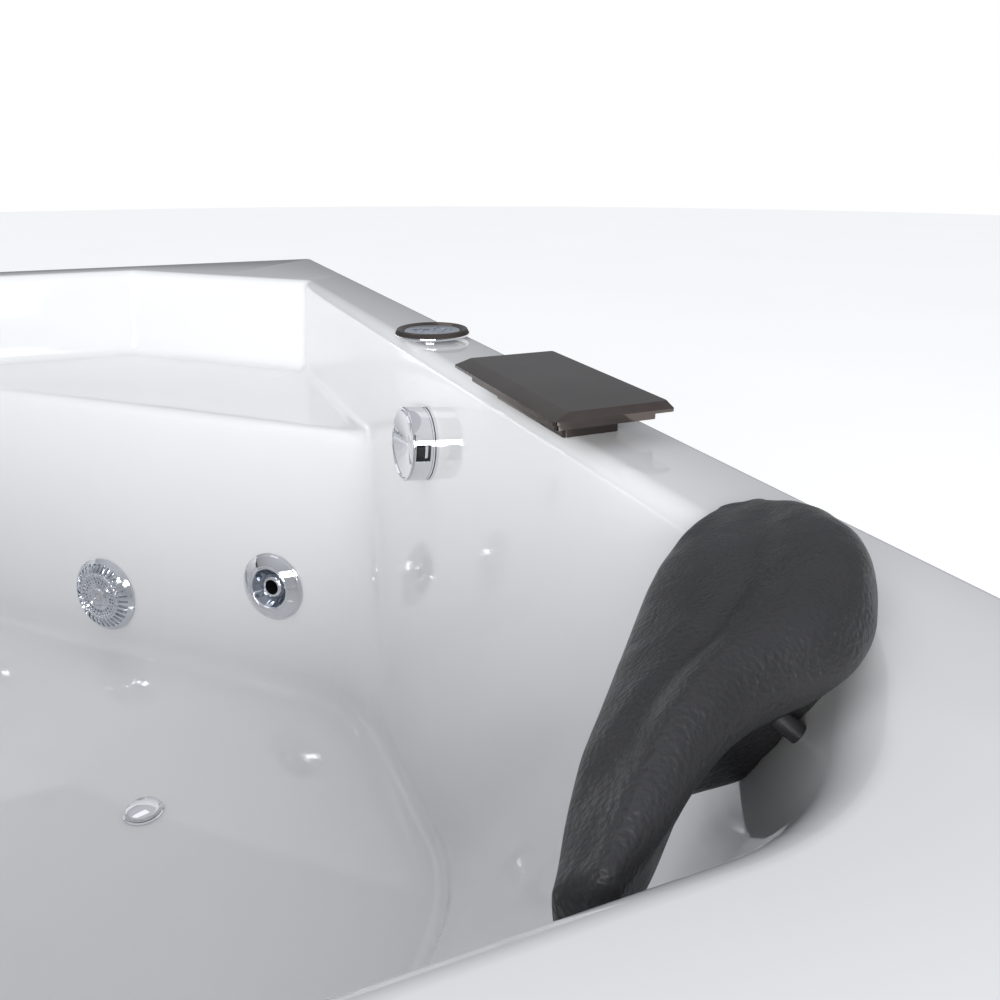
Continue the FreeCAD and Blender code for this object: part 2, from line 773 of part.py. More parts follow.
# ---------------------------------------------------------------- drain
def drain_flange():
    low = floor_z + seat_gap
    top = low + drain_flange_t
    r = drain_tube_r
    return lathe([(r - 3, drain_tube_end), (r, drain_tube_end), (r, low), (drain_cap_r + 1.5, low),
                  (drain_cap_r + 1.5, top - 1), (drain_cap_r, top), (r - 3, top)]
                 ).translated(Vector(drain_x, drain_y, 0))


def drain_body():
    """Waste tee under the floor, with a socket for the overflow pipe."""
    top = floor_z - shell_t - seat_gap - 10.5
    r = drain_body_r
    body = lathe([(r - 6, 52), (drain_tube_r + thread_gap, 52), (drain_tube_r + thread_gap, top),
                  (r, top), (r, 58), (r - 3, 50), (r - 3, drain_end_z), (r - 6, drain_end_z)])
    body = body.translated(Vector(drain_x, drain_y, 0))
    arm = Part.makeCylinder(overflow_pipe_r + 3, 34, Vector(drain_x, drain_y, drain_cross_z),
                            Vector(1, 0, 0))
    seat = Vector(drain_x + drain_body_r + 1 - seat_gap, drain_y, drain_cross_z)
    arm_socket = Part.makeCylinder(overflow_pipe_r + seat_gap, 40, seat, Vector(1, 0, 0))
    arm_bore = Part.makeCylinder(overflow_pipe_r - 3, 40, Vector(drain_x, drain_y, drain_cross_z),
                                 Vector(1, 0, 0))
    core = rod(drain_tube_r + thread_gap, 52, top + 1, drain_x, drain_y)
    return body.fuse(arm).cut([arm_socket, arm_bore, core])


def drain_nut():
    top = floor_z - shell_t - seat_gap
    return hexagon(drain_body_r + 5, top - 10, top, drain_tube_r + thread_gap, drain_x, drain_y)


def drain_plug():
    """Domed cap on a guide stem."""
    low = floor_z + seat_gap + drain_flange_t + run_gap
    r = drain_cap_r
    h = drain_cap_h
    cap = lathe([(0, low), (r - 0.6, low), (r, low + 0.8), (r - 0.8, low + 2.6),
                 (r * 0.75, low + h - 2.2), (r * 0.4, low + h - 0.4), (0, low + h)])
    stem = rod(stem_r, drain_cross_z - 6, low + 1)
    guide = rod(drain_tube_r - 3 - run_gap, low - 14, low - 10)
    ports = [rod(3.2, 0, low, 8 * math.cos(a), 8 * math.sin(a))
             for a in (math.radians(90 * k + 45) for k in range(4))]
    return cap.fuse([stem, guide.cut(ports)]).translated(Vector(drain_x, drain_y, 0))


# ---------------------------------------------------------------- control panel
def pad_housing():
    """Round bezel standing off the rim on a neck that goes down through it."""
    low = height + seat_gap
    disc = height + pad_stand
    top = height + pad_h
    r = pad_r
    body = lathe([(0, rim_under - 30), (pad_body_r, rim_under - 30), (pad_body_r, low),
                  (pad_body_r + 2, low), (pad_body_r + 2, disc), (r - 1, disc), (r, disc + 1),
                  (r, disc + 2.5), (r - 2.2, top - 0.6), (r - 4, top), (r - 6, top - 1),
                  (pad_lens_r + seat_gap, top - 3), (pad_lens_r + seat_gap, disc + 2),
                  (pad_body_r - 3, disc + 2), (pad_body_r - 3, rim_under - 27),
                  (0, rim_under - 27)])
    deck = rod(pad_body_r - 2, disc + 1, disc + 2)
    guides = [rod(key_stem_r + run_gap, low, top, x, y) for x, y in key_places]
    return body.fuse(deck.cut(guides)).translated(Vector(panel_x, panel_y, 0))


def pad_lens():
    """Display disc with a hole for each key."""
    low = height + pad_stand + 2 + seat_gap
    holes = [rod(key_r + run_gap, low - 1, low + 9, x, y) for x, y in key_places]
    disc = rod(pad_lens_r, low, height + pad_h - 2.0)
    return disc.cut(holes).translated(Vector(panel_x, panel_y, 0))


def pad_key(place):
    """Key cap with a stem through the deck, and its travel free under the cap."""
    x, y = place
    top = height + pad_h - 1.2
    deck = height + pad_stand + 2
    cap = rod(key_r, deck + key_travel + run_gap, top, x, y)
    stem = rod(key_stem_r, deck - 4, top - 1, x, y)
    return cap.fuse(stem).translated(Vector(panel_x, panel_y, 0))


# ---------------------------------------------------------------- waterfall spout
def spout_body():
    """Flat plate on a tray, with a wide slot towards the basin."""
    top = height + spout_top
    low = top - spout_t
    x0, x1 = spout_x
    y0, y1 = spout_y
    basin_side, others, drop = spout_bevel
    face = [rectangle((x0, x1), (y0, y1), top - drop),
            rectangle((x0 + basin_side, x1 - others), (y0 + others, y1 - others), top)]
    plate = box((x0, x1), (y0, y1), (low, top - drop)).fuse(skinned(face))
    tray_x = (x0 + 8.0, x1 - 4)
    tray_y = (y0 + 14, y1 - 14)
    tray = box(tray_x, tray_y, (low - spout_slot_h - 3, low + 0.5))
    slot = box((x0, x1 - 10), (y0 + 18, y1 - 18), (low - spout_slot_h, low))
    stand_x = (spout_mid[0] - 20, spout_mid[0] + 20)
    stand = box(stand_x, (y0 + 30, y1 - 30), (height + seat_gap, low - spout_slot_h - 2))
    shank = rod(spout_shank_r, height - spout_shank_len, height + 1, *spout_mid)
    bore = rod(spout_shank_r - 4, height - spout_shank_len - 1, low - 1, *spout_mid)
    return plate.fuse([tray, stand, shank]).cut([slot, bore])


# ---------------------------------------------------------------- valves and air control
def valve_bodies():
    bodies = []
    for x in valve_x:
        low = rim_under - valve_len
        body = lathe([(0, low - inlet_len), (inlet_r, low - inlet_len), (inlet_r, low),
                      (valve_body_r, low), (valve_body_r, height + seat_gap),
                      (valve_rose_r, height + seat_gap), (valve_rose_r, height + 3),
                      (valve_rose_r - 3, height + 5), (0, height + 5)])
        bore = rod(inlet_r - 3, low - inlet_len - 1, rim_under - 20)
        stem = rod(5, height + 4, height + 22)
        body = body.fuse(stem).cut(bore).translated(Vector(x, valve_y, 0))
        port = Part.makeCylinder(supply_r + seat_gap, 2 * valve_body_r + 2,
                                 Vector(x - valve_body_r - 1, valve_y, mix_z), Vector(1, 0, 0))
        bodies.append(body.cut(port))
    return group(bodies)


mix_z = rim_under - 60.0


def valve_handle(x):
    """Round grip with four shallow flutes, over the valve stem."""
    low = height + 5 + run_gap
    top = low + handle_h
    r = handle_r
    grip = lathe([(0, low + 18), (5 + run_gap, low + 18), (5 + run_gap, low), (r - 6, low),
                  (r - 7, low + 8), (r - 1, low + 13), (r, low + 15), (r, top - 3),
                  (r - 3, top), (0, top)])
    flutes = [rod(7, low + 10, top + 1, (r + 4) * math.cos(a), (r + 4) * math.sin(a))
              for a in (math.radians(60 * k) for k in range(6))]
    return grip.cut(flutes).translated(Vector(x, valve_y, 0))


def rim_nuts():
    """Nuts under the rim on the valves, the air control, the spout and the control panel."""
    top = rim_under - seat_gap
    nuts = [hexagon(valve_body_r + 7, top - rim_nut_t, top, valve_body_r + thread_gap, x, valve_y)
            for x in valve_x + (air_x,)]
    nuts.append(hexagon(spout_shank_r + 8, top - rim_nut_t, top, spout_shank_r + thread_gap,
                        *spout_mid))
    nuts.append(ring(pad_body_r + 4, pad_body_r + thread_gap, top - rim_nut_t, top,
                     panel_x, panel_y))
    return group(nuts)


def mixing_pipe():
    """Pipe from both valves round the back corner to the spout."""
    shank_x, shank_y = spout_mid
    lane = half - 60.0
    points = [(valve_x[0] + valve_body_r - 4, valve_y, mix_z),
              (valve_x[1] + 90, valve_y, mix_z),
              (valve_x[1] + 190, lane - 10, supply_z),
              (lane - 90, lane - 10, supply_z), (lane, lane - 100, supply_z),
              (lane, shank_y + 150, supply_z), (shank_x, shank_y, supply_z + 10),
              (shank_x, shank_y, height - spout_shank_len - seat_gap)]
    line = pipe(points, 22.0, supply_r, supply_r - 1.5)
    gap_at = rod(valve_body_r - 4, mix_z - 20, mix_z + 20, valve_x[1], valve_y)
    return line.cut(gap_at)


def air_body():
    low = rim_under - air_body_len
    r = valve_body_r
    body = lathe([(air_pipe_r - 2, low), (r, low), (r, height + seat_gap),
                  (valve_rose_r - 3, height + seat_gap), (valve_rose_r - 3, height + 3.5),
                  (r - 4, height + 3.5), (r - 4, low + 8), (air_pipe_r - 2, low + 8)])
    post_stem = rod(4, low + 4, height + 12).fuse(box((-r + 1, r - 1), (-1.5, 1.5),
                                                      (low + 7, low + 14)))
    return body.fuse(post_stem).cut(rod(1.5, 0, low + 20)).translated(Vector(air_x, valve_y, 0))


def air_knob():
    low = height + 3.5 + run_gap
    r = air_knob_r
    top = low + air_knob_h
    knob = lathe([(0, low + 9), (4 + run_gap, low + 9), (4 + run_gap, low), (r, low),
                  (r, top - 4), (r - 3, top), (0, top)])
    pointer = box((-1.2, 1.2), (6, r - 3), (top - 1, top + 1))
    knob = knob.cut(pointer)
    for k in range(12):
        angle = math.radians(30 * k)
        knob = knob.cut(rod(2.4, low + 2, top + 1, (r + 1) * math.cos(angle),
                            (r + 1) * math.sin(angle)))
    return knob.translated(Vector(air_x, valve_y, 0))


# ---------------------------------------------------------------- pump
pump_dir = direction(45)


def at_pump(shape):
    """Local +Z along the pump's shaft towards its inlet."""
    return stood(shape, Vector(pump_mid[0], pump_mid[1], pump_axis_z), pump_dir)


inlet_at = 150.0          # pump middle to the face of its inlet
volute_span = (62.0, 124.0)
shaft_r = 6.5


pump_floor = rail_top + seat_gap
pump_base_t = 4.0


def pump_housing():
    """Wet end with an axial inlet and an outlet straight up."""
    low, top = volute_span
    outer = rod(volute_r, low, top).fuse(rod(suction_pipe_r + 6, top - 1, inlet_at))
    inner = rod(volute_r - 8, low + 8, top - 8).fuse(rod(suction_pipe_r - 4, top - 9, inlet_at + 1))
    floor = pump_floor + pump_base_t + seat_gap - pump_axis_z
    foot = box((-50, 50), (floor, -volute_r + 14), (low + 4, top - 14))
    rise = outlet_rise
    up = Part.makeCylinder(pressure_r + 5, rise, Vector(0, 0, (low + top) / 2), Vector(0, 1, 0))
    up_bore = Part.makeCylinder(pressure_r - 4, rise + 1, Vector(0, 0, (low + top) / 2),
                                Vector(0, 1, 0))
    return at_pump(outer.fuse([foot, up]).cut([inner, up_bore, rod(shaft_r + run_gap, low - 1, low + 9)]))


outlet_rise = 80.0        # shaft to the face of the outlet


def impeller():
    """Closed wheel with curved vanes on the motor shaft."""
    low = volute_span[0] + 14
    r = volute_r - 20
    wheel = ring(r, 5, low, low + 3).fuse(rod(14, low, low + 22))
    vanes = []
    for k in range(6):
        vane = box((12, r - 1), (-1.5, 1.5), (low + 2, low + 16))
        vane.rotate(Vector(12, 0, 0), Vector(0, 0, 1), 28)
        vane.rotate(Vector(), Vector(0, 0, 1), 60 * k)
        vanes.append(vane.common(rod(r, low, low + 20)))
    shaft = rod(shaft_r, volute_span[0] - motor_len + 34, low + 5)
    return at_pump(wheel.fuse(vanes).fuse(shaft))


def motor_body():
    """Finned motor case with its terminal box, hollow round the shaft."""
    top = volute_span[0] - seat_gap
    low = top - motor_len
    case = rod(motor_r - 5, low, top).fuse(rod(motor_r + 3, top - 8, top))
    fins = []
    for k in range(24):
        fin = box((motor_r - 7, motor_r), (-1.4, 1.4), (low + 12, top - 14))
        fin.rotate(Vector(), Vector(0, 0, 1), 15 * k)
        fins.append(fin)
    lid = motor_r + 34
    terminals = box((-lid, 12 - motor_r), (-32, 32), (top - 130, top - 40))
    edges = [e for e in terminals.Edges if all(abs(v.X + lid) < 1e-6 for v in e.Vertexes)]
    case = case.fuse(fins).fuse(terminals.makeFillet(4, edges))
    bore = rod(shaft_r + run_gap, low + 30, top + 1).fuse(rod(motor_r - 12, low + 40, top - 30))
    return at_pump(case.cut(bore))


def motor_cover():
    """Slotted cover over the motor's back end."""
    top = volute_span[0] - motor_len - 2 * seat_gap
    cover = rod(motor_r - 1, top - 20, top)
    slots = [box((-30, 30), (y - 2, y + 2), (top - 21, top - 17)) for y in (-30, -18, -6, 6, 18, 30)]
    return at_pump(cover.cut(slots))


def pump_base():
    """Folded tray under the motor that stands on the frame."""
    drop = pump_axis_z - pump_floor
    low = volute_span[0] - motor_len + 20
    plate = box((-58, 58), (-drop, -drop + pump_base_t), (low, volute_span[1] - 10))
    saddle = box((-40, 40), (-drop + pump_base_t - 1, -motor_r + 14), (low + 10, low + 60))
    saddle = saddle.cut(rod(motor_r + seat_gap, low, low + 80))
    return at_pump(plate.fuse(saddle))


def pump_unions():
    """Union nuts at the pump's inlet and outlet."""
    inlet = ring(suction_pipe_r + 9, suction_pipe_r + 6 + thread_gap, inlet_at - 16, inlet_at - 1)
    mid = sum(volute_span) / 2
    outlet = Part.makeCylinder(pressure_r + 9, 14, Vector(0, outlet_rise - 15, mid), Vector(0, 1, 0))
    hole = Part.makeCylinder(pressure_r + 5 + thread_gap, 16, Vector(0, outlet_rise - 16, mid),
                             Vector(0, 1, 0))
    return group([at_pump(inlet), at_pump(outlet.cut(hole))])


# ---------------------------------------------------------------- pipes
def place_of(shape_point):
    """A point given in the pump's own frame, in the tub's frame."""
    return at_pump(Part.Vertex(Vector(*shape_point))).Point


pump_inlet = place_of((0, 0, inlet_at + seat_gap))
pump_outlet = place_of((0, outlet_rise + seat_gap, sum(volute_span) / 2))
lane_low = suction_z - 24.0


def suction_pipe():
    """From the suction fitting round the back corner to the pump."""
    start = behind(suction_spot, suction_depth + seat_gap + 0.3)
    turn = behind(suction_spot, suction_depth + 105)
    points = [tuple(start), tuple(turn), (pipe_line, 2 * turn.x - pipe_line + 60, lane_low),
              (pipe_line, pump_inlet.y + (pipe_line - pump_inlet.x), pump_axis_z),
              tuple(pump_inlet)]
    return pipe(points, 44.0, suction_pipe_r, suction_pipe_r - 2)


def jet_tee(spot):
    """Branch from the pressure pipe towards a jet's spigot."""
    reach = rod(jet_spigot_r + 4, -jet_back, -jet_depth - 12)
    return stood(reach, *spot)


def jet_tee_bore(spot):
    return stood(rod(jet_spigot_r + seat_gap, -jet_back, -jet_depth), *spot)


def pipe_with_tees(points, bend, spots):
    line = hose(points, bend, pressure_r).fuse([jet_tee(spot) for spot in spots])
    bores = [hose(points, bend, pressure_r - 2.5)] + [jet_tee_bore(spot) for spot in spots]
    return line.cut(bores)


def outlet_cross():
    """Cross piece over the pump that feeds both pressure pipes."""
    x, y = pump_outlet.x, pump_outlet.y
    low = pump_outlet.z
    body = rod(pressure_r + 5, low, pressure_z + 26, x, y)
    arms = []
    bores = [rod(pressure_r - 2.5, low - 1, pressure_z + 18, x, y)]
    for angle in (45, 225):
        way = direction(angle)
        base = Vector(x, y, pressure_z)
        arms.append(Part.makeCylinder(pressure_r + 4, arm_len, base, way))
        bores.append(Part.makeCylinder(pressure_r + seat_gap, arm_len, base + way * arm_seat, way))
        bores.append(Part.makeCylinder(pressure_r - 3, arm_len, base, way))
    return body.fuse(arms).cut(bores)


arm_len = 40.0
arm_seat = 22.0
pressure_z = behind(jet_spots[0], jet_back).z
pipe_past = 34.0          # pipe beyond its last tee
air_lane = half - 62.0    # centre line of the air pipe beside the basin


def pressure_back():
    """Pressure pipe along the wall side to the two jets of the back wall."""
    start = Vector(pump_outlet.x, pump_outlet.y, pressure_z) + pump_dir * (arm_seat + seat_gap)
    first, last = behind(jet_spots[0], jet_back), behind(jet_spots[1], jet_back)
    points = [tuple(start), (pipe_line, start.y + pipe_line - start.x, pressure_z),
              (pipe_line, first.x + first.y - pipe_line, first.z),
              tuple(last + (last - first).normalize() * pipe_past)]
    return pipe_with_tees(points, 40.0, jet_spots[:2])


def pressure_front():
    """Pressure pipe along the near side to the two jets of the front wall."""
    start = Vector(pump_outlet.x, pump_outlet.y, pressure_z) - pump_dir * (arm_seat + seat_gap)
    first, last = behind(jet_spots[3], jet_back), behind(jet_spots[2], jet_back)
    points = [tuple(start), (start.x - (pipe_line + start.y), -pipe_line, pressure_z),
              (first.x + first.y + pipe_line, -pipe_line, first.z),
              tuple(last + (last - first).normalize() * pipe_past)]
    return pipe_with_tees(points, 40.0, jet_spots[2:])


def over_jet(spot, rise):
    """A point above a jet's cup, in line with its air spigot."""
    upright = spot[1].cross(Vector(0, 0, 1).cross(spot[1])).normalize()
    return behind(spot, air_depth) + upright * rise, upright


def air_manifold():
    """Air pipe from the air control to the spigot above every jet."""
    level = over_jet(jet_spots[0], air_rise)[0].z
    tops = [over_jet(spot, air_rise)[0] for spot in jet_spots]
    back_sum = tops[0].x + tops[0].y
    front_sum = tops[2].x + tops[2].y
    top = rim_under - air_body_len - seat_gap
    to_back = [(air_x, valve_y, top), (air_x, valve_y, level + 70),
               (air_x + 55, air_lane, level), (back_sum - air_lane, air_lane, level),
               tuple(tops[0] + (tops[0] - tops[1]).normalize() * pipe_past)]
    to_front = [(air_x, valve_y, level + 110), (air_x - 80, air_lane, level + 100),
                (-air_lane, air_lane, level + 60), (-air_lane, front_sum + air_lane, tops[2].z),
                tuple(tops[3] + (tops[3] - tops[2]).normalize() * pipe_past)]
    shape = hose(to_back, 22.0, air_pipe_r).fuse(hose(to_front, 22.0, air_pipe_r))
    stubs = []
    bores = [hose(to_back, 22.0, air_pipe_r - 2), hose(to_front, 22.0, air_pipe_r - 2)]
    for spot in jet_spots:
        low, upright = over_jet(spot, jet_air_rise - 10)
        stubs.append(Part.makeCylinder(jet_air_r + 2.5, air_rise - jet_air_rise + 10, low, upright))
        bores.append(Part.makeCylinder(jet_air_r + seat_gap, 10 + seat_gap, low, upright))
        bores.append(Part.makeCylinder(jet_air_r - 2, air_rise - jet_air_rise + 10, low, upright))
    return shape.fuse(stubs).cut(bores)


# ---------------------------------------------------------------- pillows
def pillow_space():
    """The basin's inside near the rim, drawn in by a running gap, and a strip over the rim."""
    inside = skinned([section(height, -run_gap, True, height + 60),
                      section(height - rim_round, -run_gap, True),
                      section(shelf_z, -run_gap, True)])
    over_rim = slab(section(height, pillow_lap, True, height + run_gap), 60)
    return inside.fuse(over_rim)


def pillow_slice(k):
    """One section: hollow at the neck and full over the crest."""
    corner = seat_at(height)
    back = corner + pillow_outer[k]
    front = corner + pillow_inner[k]
    wide = back - front
    foot = 0.95 - pillow_heel[k] / wide
    low = height + pillow_under[k]
    tall = height + pillow_crest[k] - low
    off = pillow_len * (k / (len(pillow_outer) - 1) - 0.5) + pillow_off

    def at(across, up):
        return Vector(-off, low + tall * up, -(front + wide * across))

    corners = [at(0.04, 0.20), at(0.0, 0.60), at(0.42, 0.86), at(0.76, 1.0), at(1.0, 0.74),
               at(foot, 0.06), at(0.45 * foot, 0.0)]
    middles = [at(-0.01, 0.40), at(0.19, 0.75), at(0.60, 0.96), at(0.93, 0.93),
               at(0.38 + 0.65 * foot, 0.42), at(0.78 * foot, 0.0), at(0.18 * foot, 0.07)]
    edges = []
    for n, start in enumerate(corners):
        edges.append(Part.Arc(start, middles[n], corners[(n + 1) % len(corners)]).toShape())
    return Part.Wire(edges)


def pillow_near():
    """Foam neck pillow in the near corner, its end by the back corner higher."""
    slices = [pillow_slice(k) for k in range(len(pillow_outer))]
    blob = stood(Part.makeLoft(slices, True, False), Vector(), direction(315) * -1)
    sockets = [stood(rod(stud_r + thread_gap, -20, 14.5), *s) for s in stud_spots(315)]
    return blob.common(pillow_space()).cut(sockets)


def mirrored(shape):
    """The same shape on the other side of the line from the back corner to the cut corner."""
    return shape.mirror(Vector(), Vector(1, -1, 0))


def pillow_studs():
    """Press studs through the shell that hold both pillows."""
    low = -shell_t
    stud = lathe([(0, low - 5), (2.5, low - 5), (stud_r + 2, low - 2), (stud_r + 2, low - seat_gap),
                  (stud_r, low - seat_gap), (stud_r, 13), (stud_r - 1, 14), (0, 14)])
    return group([stood(stud, *spot) for spot in all_studs])


# ---------------------------------------------------------------- write the nodes
os.makedirs("parts", exist_ok=True)

show("tub_shell", tub_shell())
show("base_frame", base_frame())
show("rim_posts", rim_posts())
show("floor_bearers", floor_bearers())
show("foot_pads", foot_pads())
show("foot_bolts", foot_bolts())
show("foot_nuts", foot_nuts())
show("apron_front", apron_front())
show("apron_sides", apron_sides())
show("apron_blocks", apron_blocks())
show("apron_screws", apron_screws())

show("jet_bodies", group([stood(jet_body(), *spot) for spot in jet_spots]))
show("wall_nuts", wall_nuts())
for number, spot in enumerate(jet_spots, 1):
    show("jet_ring_%d" % number, stood(jet_ring(), *spot))
    show("jet_nozzle_%d" % number, stood(jet_nozzle(), *spot))

show("suction_body", stood(suction_body(), *suction_spot))
show("suction_cover", stood(suction_cover(), *suction_spot))
show("suction_screw", stood(suction_screw(), *suction_spot))

show("overflow_body", stood(overflow_body(), *overflow_spot))
show("overflow_elbow", overflow_elbow())
show("overflow_knob", stood(overflow_knob(), *overflow_spot))
show("overflow_pipe", overflow_pipe())
show("lift_cable", lift_cable())
show("drain_flange", drain_flange())
show("drain_body", drain_body())
show("drain_nut", drain_nut())
show("drain_plug", drain_plug())

show("pad_housing", pad_housing())
show("pad_lens", pad_lens())
for number, place in enumerate(key_places, 1):
    show("pad_key_%d" % number, pad_key(place))

show("spout_body", spout_body())
show("valve_bodies", valve_bodies())
show("handle_hot", valve_handle(valve_x[0]))
show("handle_cold", valve_handle(valve_x[1]))
show("rim_nuts", rim_nuts())
show("mixing_pipe", mixing_pipe())
show("air_body", air_body())
show("air_knob", air_knob())

show("pump_housing", pump_housing())
show("impeller", impeller())
show("motor_body", motor_body())
show("motor_cover", motor_cover())
show("pump_base", pump_base())
show("pump_unions", pump_unions())
show("suction_pipe", suction_pipe())
show("outlet_cross", outlet_cross())
show("pressure_back", pressure_back())
show("pressure_front", pressure_front())
show("air_manifold", air_manifold())

show("pillow_near", pillow_near())
show("pillow_far", mirrored(pillow_near()))
show("pillow_studs", pillow_studs())
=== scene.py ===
import math

import bmesh
import bpy
import numpy as np
from mathutils import Matrix, Vector, noise


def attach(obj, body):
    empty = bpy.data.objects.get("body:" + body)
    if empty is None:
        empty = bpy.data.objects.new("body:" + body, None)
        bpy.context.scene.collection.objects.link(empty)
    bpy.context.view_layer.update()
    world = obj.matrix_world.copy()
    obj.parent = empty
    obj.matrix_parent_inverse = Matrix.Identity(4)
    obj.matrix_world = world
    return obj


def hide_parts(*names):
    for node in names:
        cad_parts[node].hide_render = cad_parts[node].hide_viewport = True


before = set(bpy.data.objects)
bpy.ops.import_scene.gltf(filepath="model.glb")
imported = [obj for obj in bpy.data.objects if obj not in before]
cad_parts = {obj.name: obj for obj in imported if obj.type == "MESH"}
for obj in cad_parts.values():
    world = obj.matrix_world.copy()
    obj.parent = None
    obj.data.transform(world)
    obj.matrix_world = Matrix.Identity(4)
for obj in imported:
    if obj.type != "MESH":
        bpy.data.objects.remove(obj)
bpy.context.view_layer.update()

mm = 0.001


# ---------------------------------------------------------------- tub shell
# One sheet of white acrylic, heated and drawn into a mould: rolled rim, basin, corner shelf.
# Resin and chopped glass are sprayed on its back, and the fittings pass through drilled holes.

side_half = 0.750
front_out = 0.760 / math.sqrt(2)
rim_z = 0.600
shell_t = 0.006
rim_flat = 0.058
rim_round = 0.012
rim_edge = 0.008
lip_z = rim_z - 0.045
draft = 0.09
floor_z = 0.150
cove = 0.024
cove_top = floor_z + cove
shelf_z = 0.477
recess_leg, recess_r = 0.218, 0.014
shelf_leg, shelf_lean, shelf_r = 0.571, 0.035, (0.045, 0.260)
seat_leg, seat_r = (0.077, 0.380), (0.100, 0.190)
front_deck, front_lean, front_r = 0.090, 0.045, (0.140, 0.150)
outer_r = (0.012, 0.025, 0.040, 0.040, 0.025)
shelf_hollow = 0.012      # round between the wall and the shelf
shelf_nose = 0.014        # round at the front of the shelf


def mix(pair, part):
    return pair[0] + (pair[1] - pair[0]) * part


def ease(part):
    return part * part * (3 - 2 * part)


def rounded_plan(lines, radii, steps=10):
    """Plan points of straight lines, given as (angle, distance), with arcs between them."""
    points = []
    for k, (angle, distance) in enumerate(lines):
        after, further = lines[(k + 1) % len(lines)]
        r = radii[k]
        first, last = math.radians(angle), math.radians(after)
        if last < first:
            last += 2 * math.pi
        ends = np.array([[math.cos(first), math.sin(first)], [math.cos(last), math.sin(last)]])
        centre = np.linalg.solve(ends, [distance - r, further - r])
        for turn in np.linspace(first, last, steps + 1):
            points.append(centre + r * np.array([math.cos(turn), math.sin(turn)]))
    return np.array(points)


def side_at(z):
    return side_half - rim_flat - rim_round - draft * (rim_z - z)


def basin_plan(z, grow=0.0, shelf=True):
    """The basin's plan at a height: above the shelf, or below it where shelf is false."""
    down = (rim_z - z) / (rim_z - cove_top)
    under = (shelf_z - z) / (shelf_z - cove_top)
    seats = [(2 * side_at(h) - leg) / math.sqrt(2) for h, leg in zip((rim_z, cove_top), seat_leg)]
    if shelf:
        back, back_r = (2 * side_at(z) - recess_leg) / math.sqrt(2), recess_r
    else:
        back = (2 * side_at(shelf_z) - shelf_leg) / math.sqrt(2) - shelf_lean * under
        back_r = mix(shelf_r, under)
    wall, seat = side_at(z), mix(seats, down)
    front = front_out - front_deck - front_lean * down
    lines = [(0, wall), (45, back), (90, wall), (135, seat)]
    lines += [(180, wall), (225, front), (270, wall), (315, seat)]
    seat_round, front_round = [mix(seat_r, down)] * 2, [mix(front_r, down)] * 2
    radii = [back_r, back_r] + seat_round + front_round + seat_round
    return rounded_plan([(a, d + grow) for a, d in lines], [r + grow for r in radii])


def rim_plan(grow=0.0):
    lines = [(0, side_half), (90, side_half), (180, side_half), (225, front_out), (270, side_half)]
    return rounded_plan([(a, d + grow) for a, d in lines], [max(r + grow, 0.001) for r in outer_r])


def reach(plan, at):
    """Distance from the middle to a plan outline along each angle."""
    angles = np.mod(np.arctan2(plan[:, 1], plan[:, 0]), 2 * math.pi)
    start = np.argmin(angles)
    plan, angles = np.roll(plan, -start, axis=0), np.roll(angles, -start)
    plan = np.vstack([plan[-1:], plan, plan[:1]])
    angles = np.concatenate([[angles[-1] - 2 * math.pi], angles, [angles[0] + 2 * math.pi]])
    low = np.clip(np.searchsorted(angles, at, side="right") - 1, 0, len(angles) - 2)
    a, edge = plan[low], plan[low + 1] - plan[low]
    across = np.cos(at) * edge[:, 1] - np.sin(at) * edge[:, 0]
    return (a[:, 0] * edge[:, 1] - a[:, 1] * edge[:, 0]) / across


def column_turns(widest=0.014, closest=0.0012):
    """Angles of the mesh columns: at every rounded corner, and evenly between."""
    plans = [rim_plan(), basin_plan(rim_z, rim_round), basin_plan(shelf_z)]
    plans += [basin_plan(shelf_z, shelf=False), basin_plan(cove_top, shelf=False)]
    angles = np.concatenate([np.arctan2(p[:, 1], p[:, 0]) for p in plans])
    kept = []
    for turn in np.sort(np.mod(angles, 2 * math.pi)):
        if not kept or turn - kept[-1] >= closest:
            kept.append(turn)
    found = []
    for here, after in zip(kept, kept[1:] + [kept[0] + 2 * math.pi]):
        parts = max(1, math.ceil((after - here) / widest))
        found += [here + (after - here) * k / parts for k in range(parts)]
    return np.sort(np.mod(found, 2 * math.pi))


turns = column_turns()


def facing(plan, step=1e-4):
    """Cosine between each column's ray and the wall that it meets."""
    after = reach(plan, np.mod(turns + step, 2 * math.pi))
    before = reach(plan, np.mod(turns - step, 2 * math.pi))
    slope = (after - before) / (2 * step) / reach(plan, turns)
    return np.maximum(1 / np.sqrt(1 + slope ** 2), 0.5)


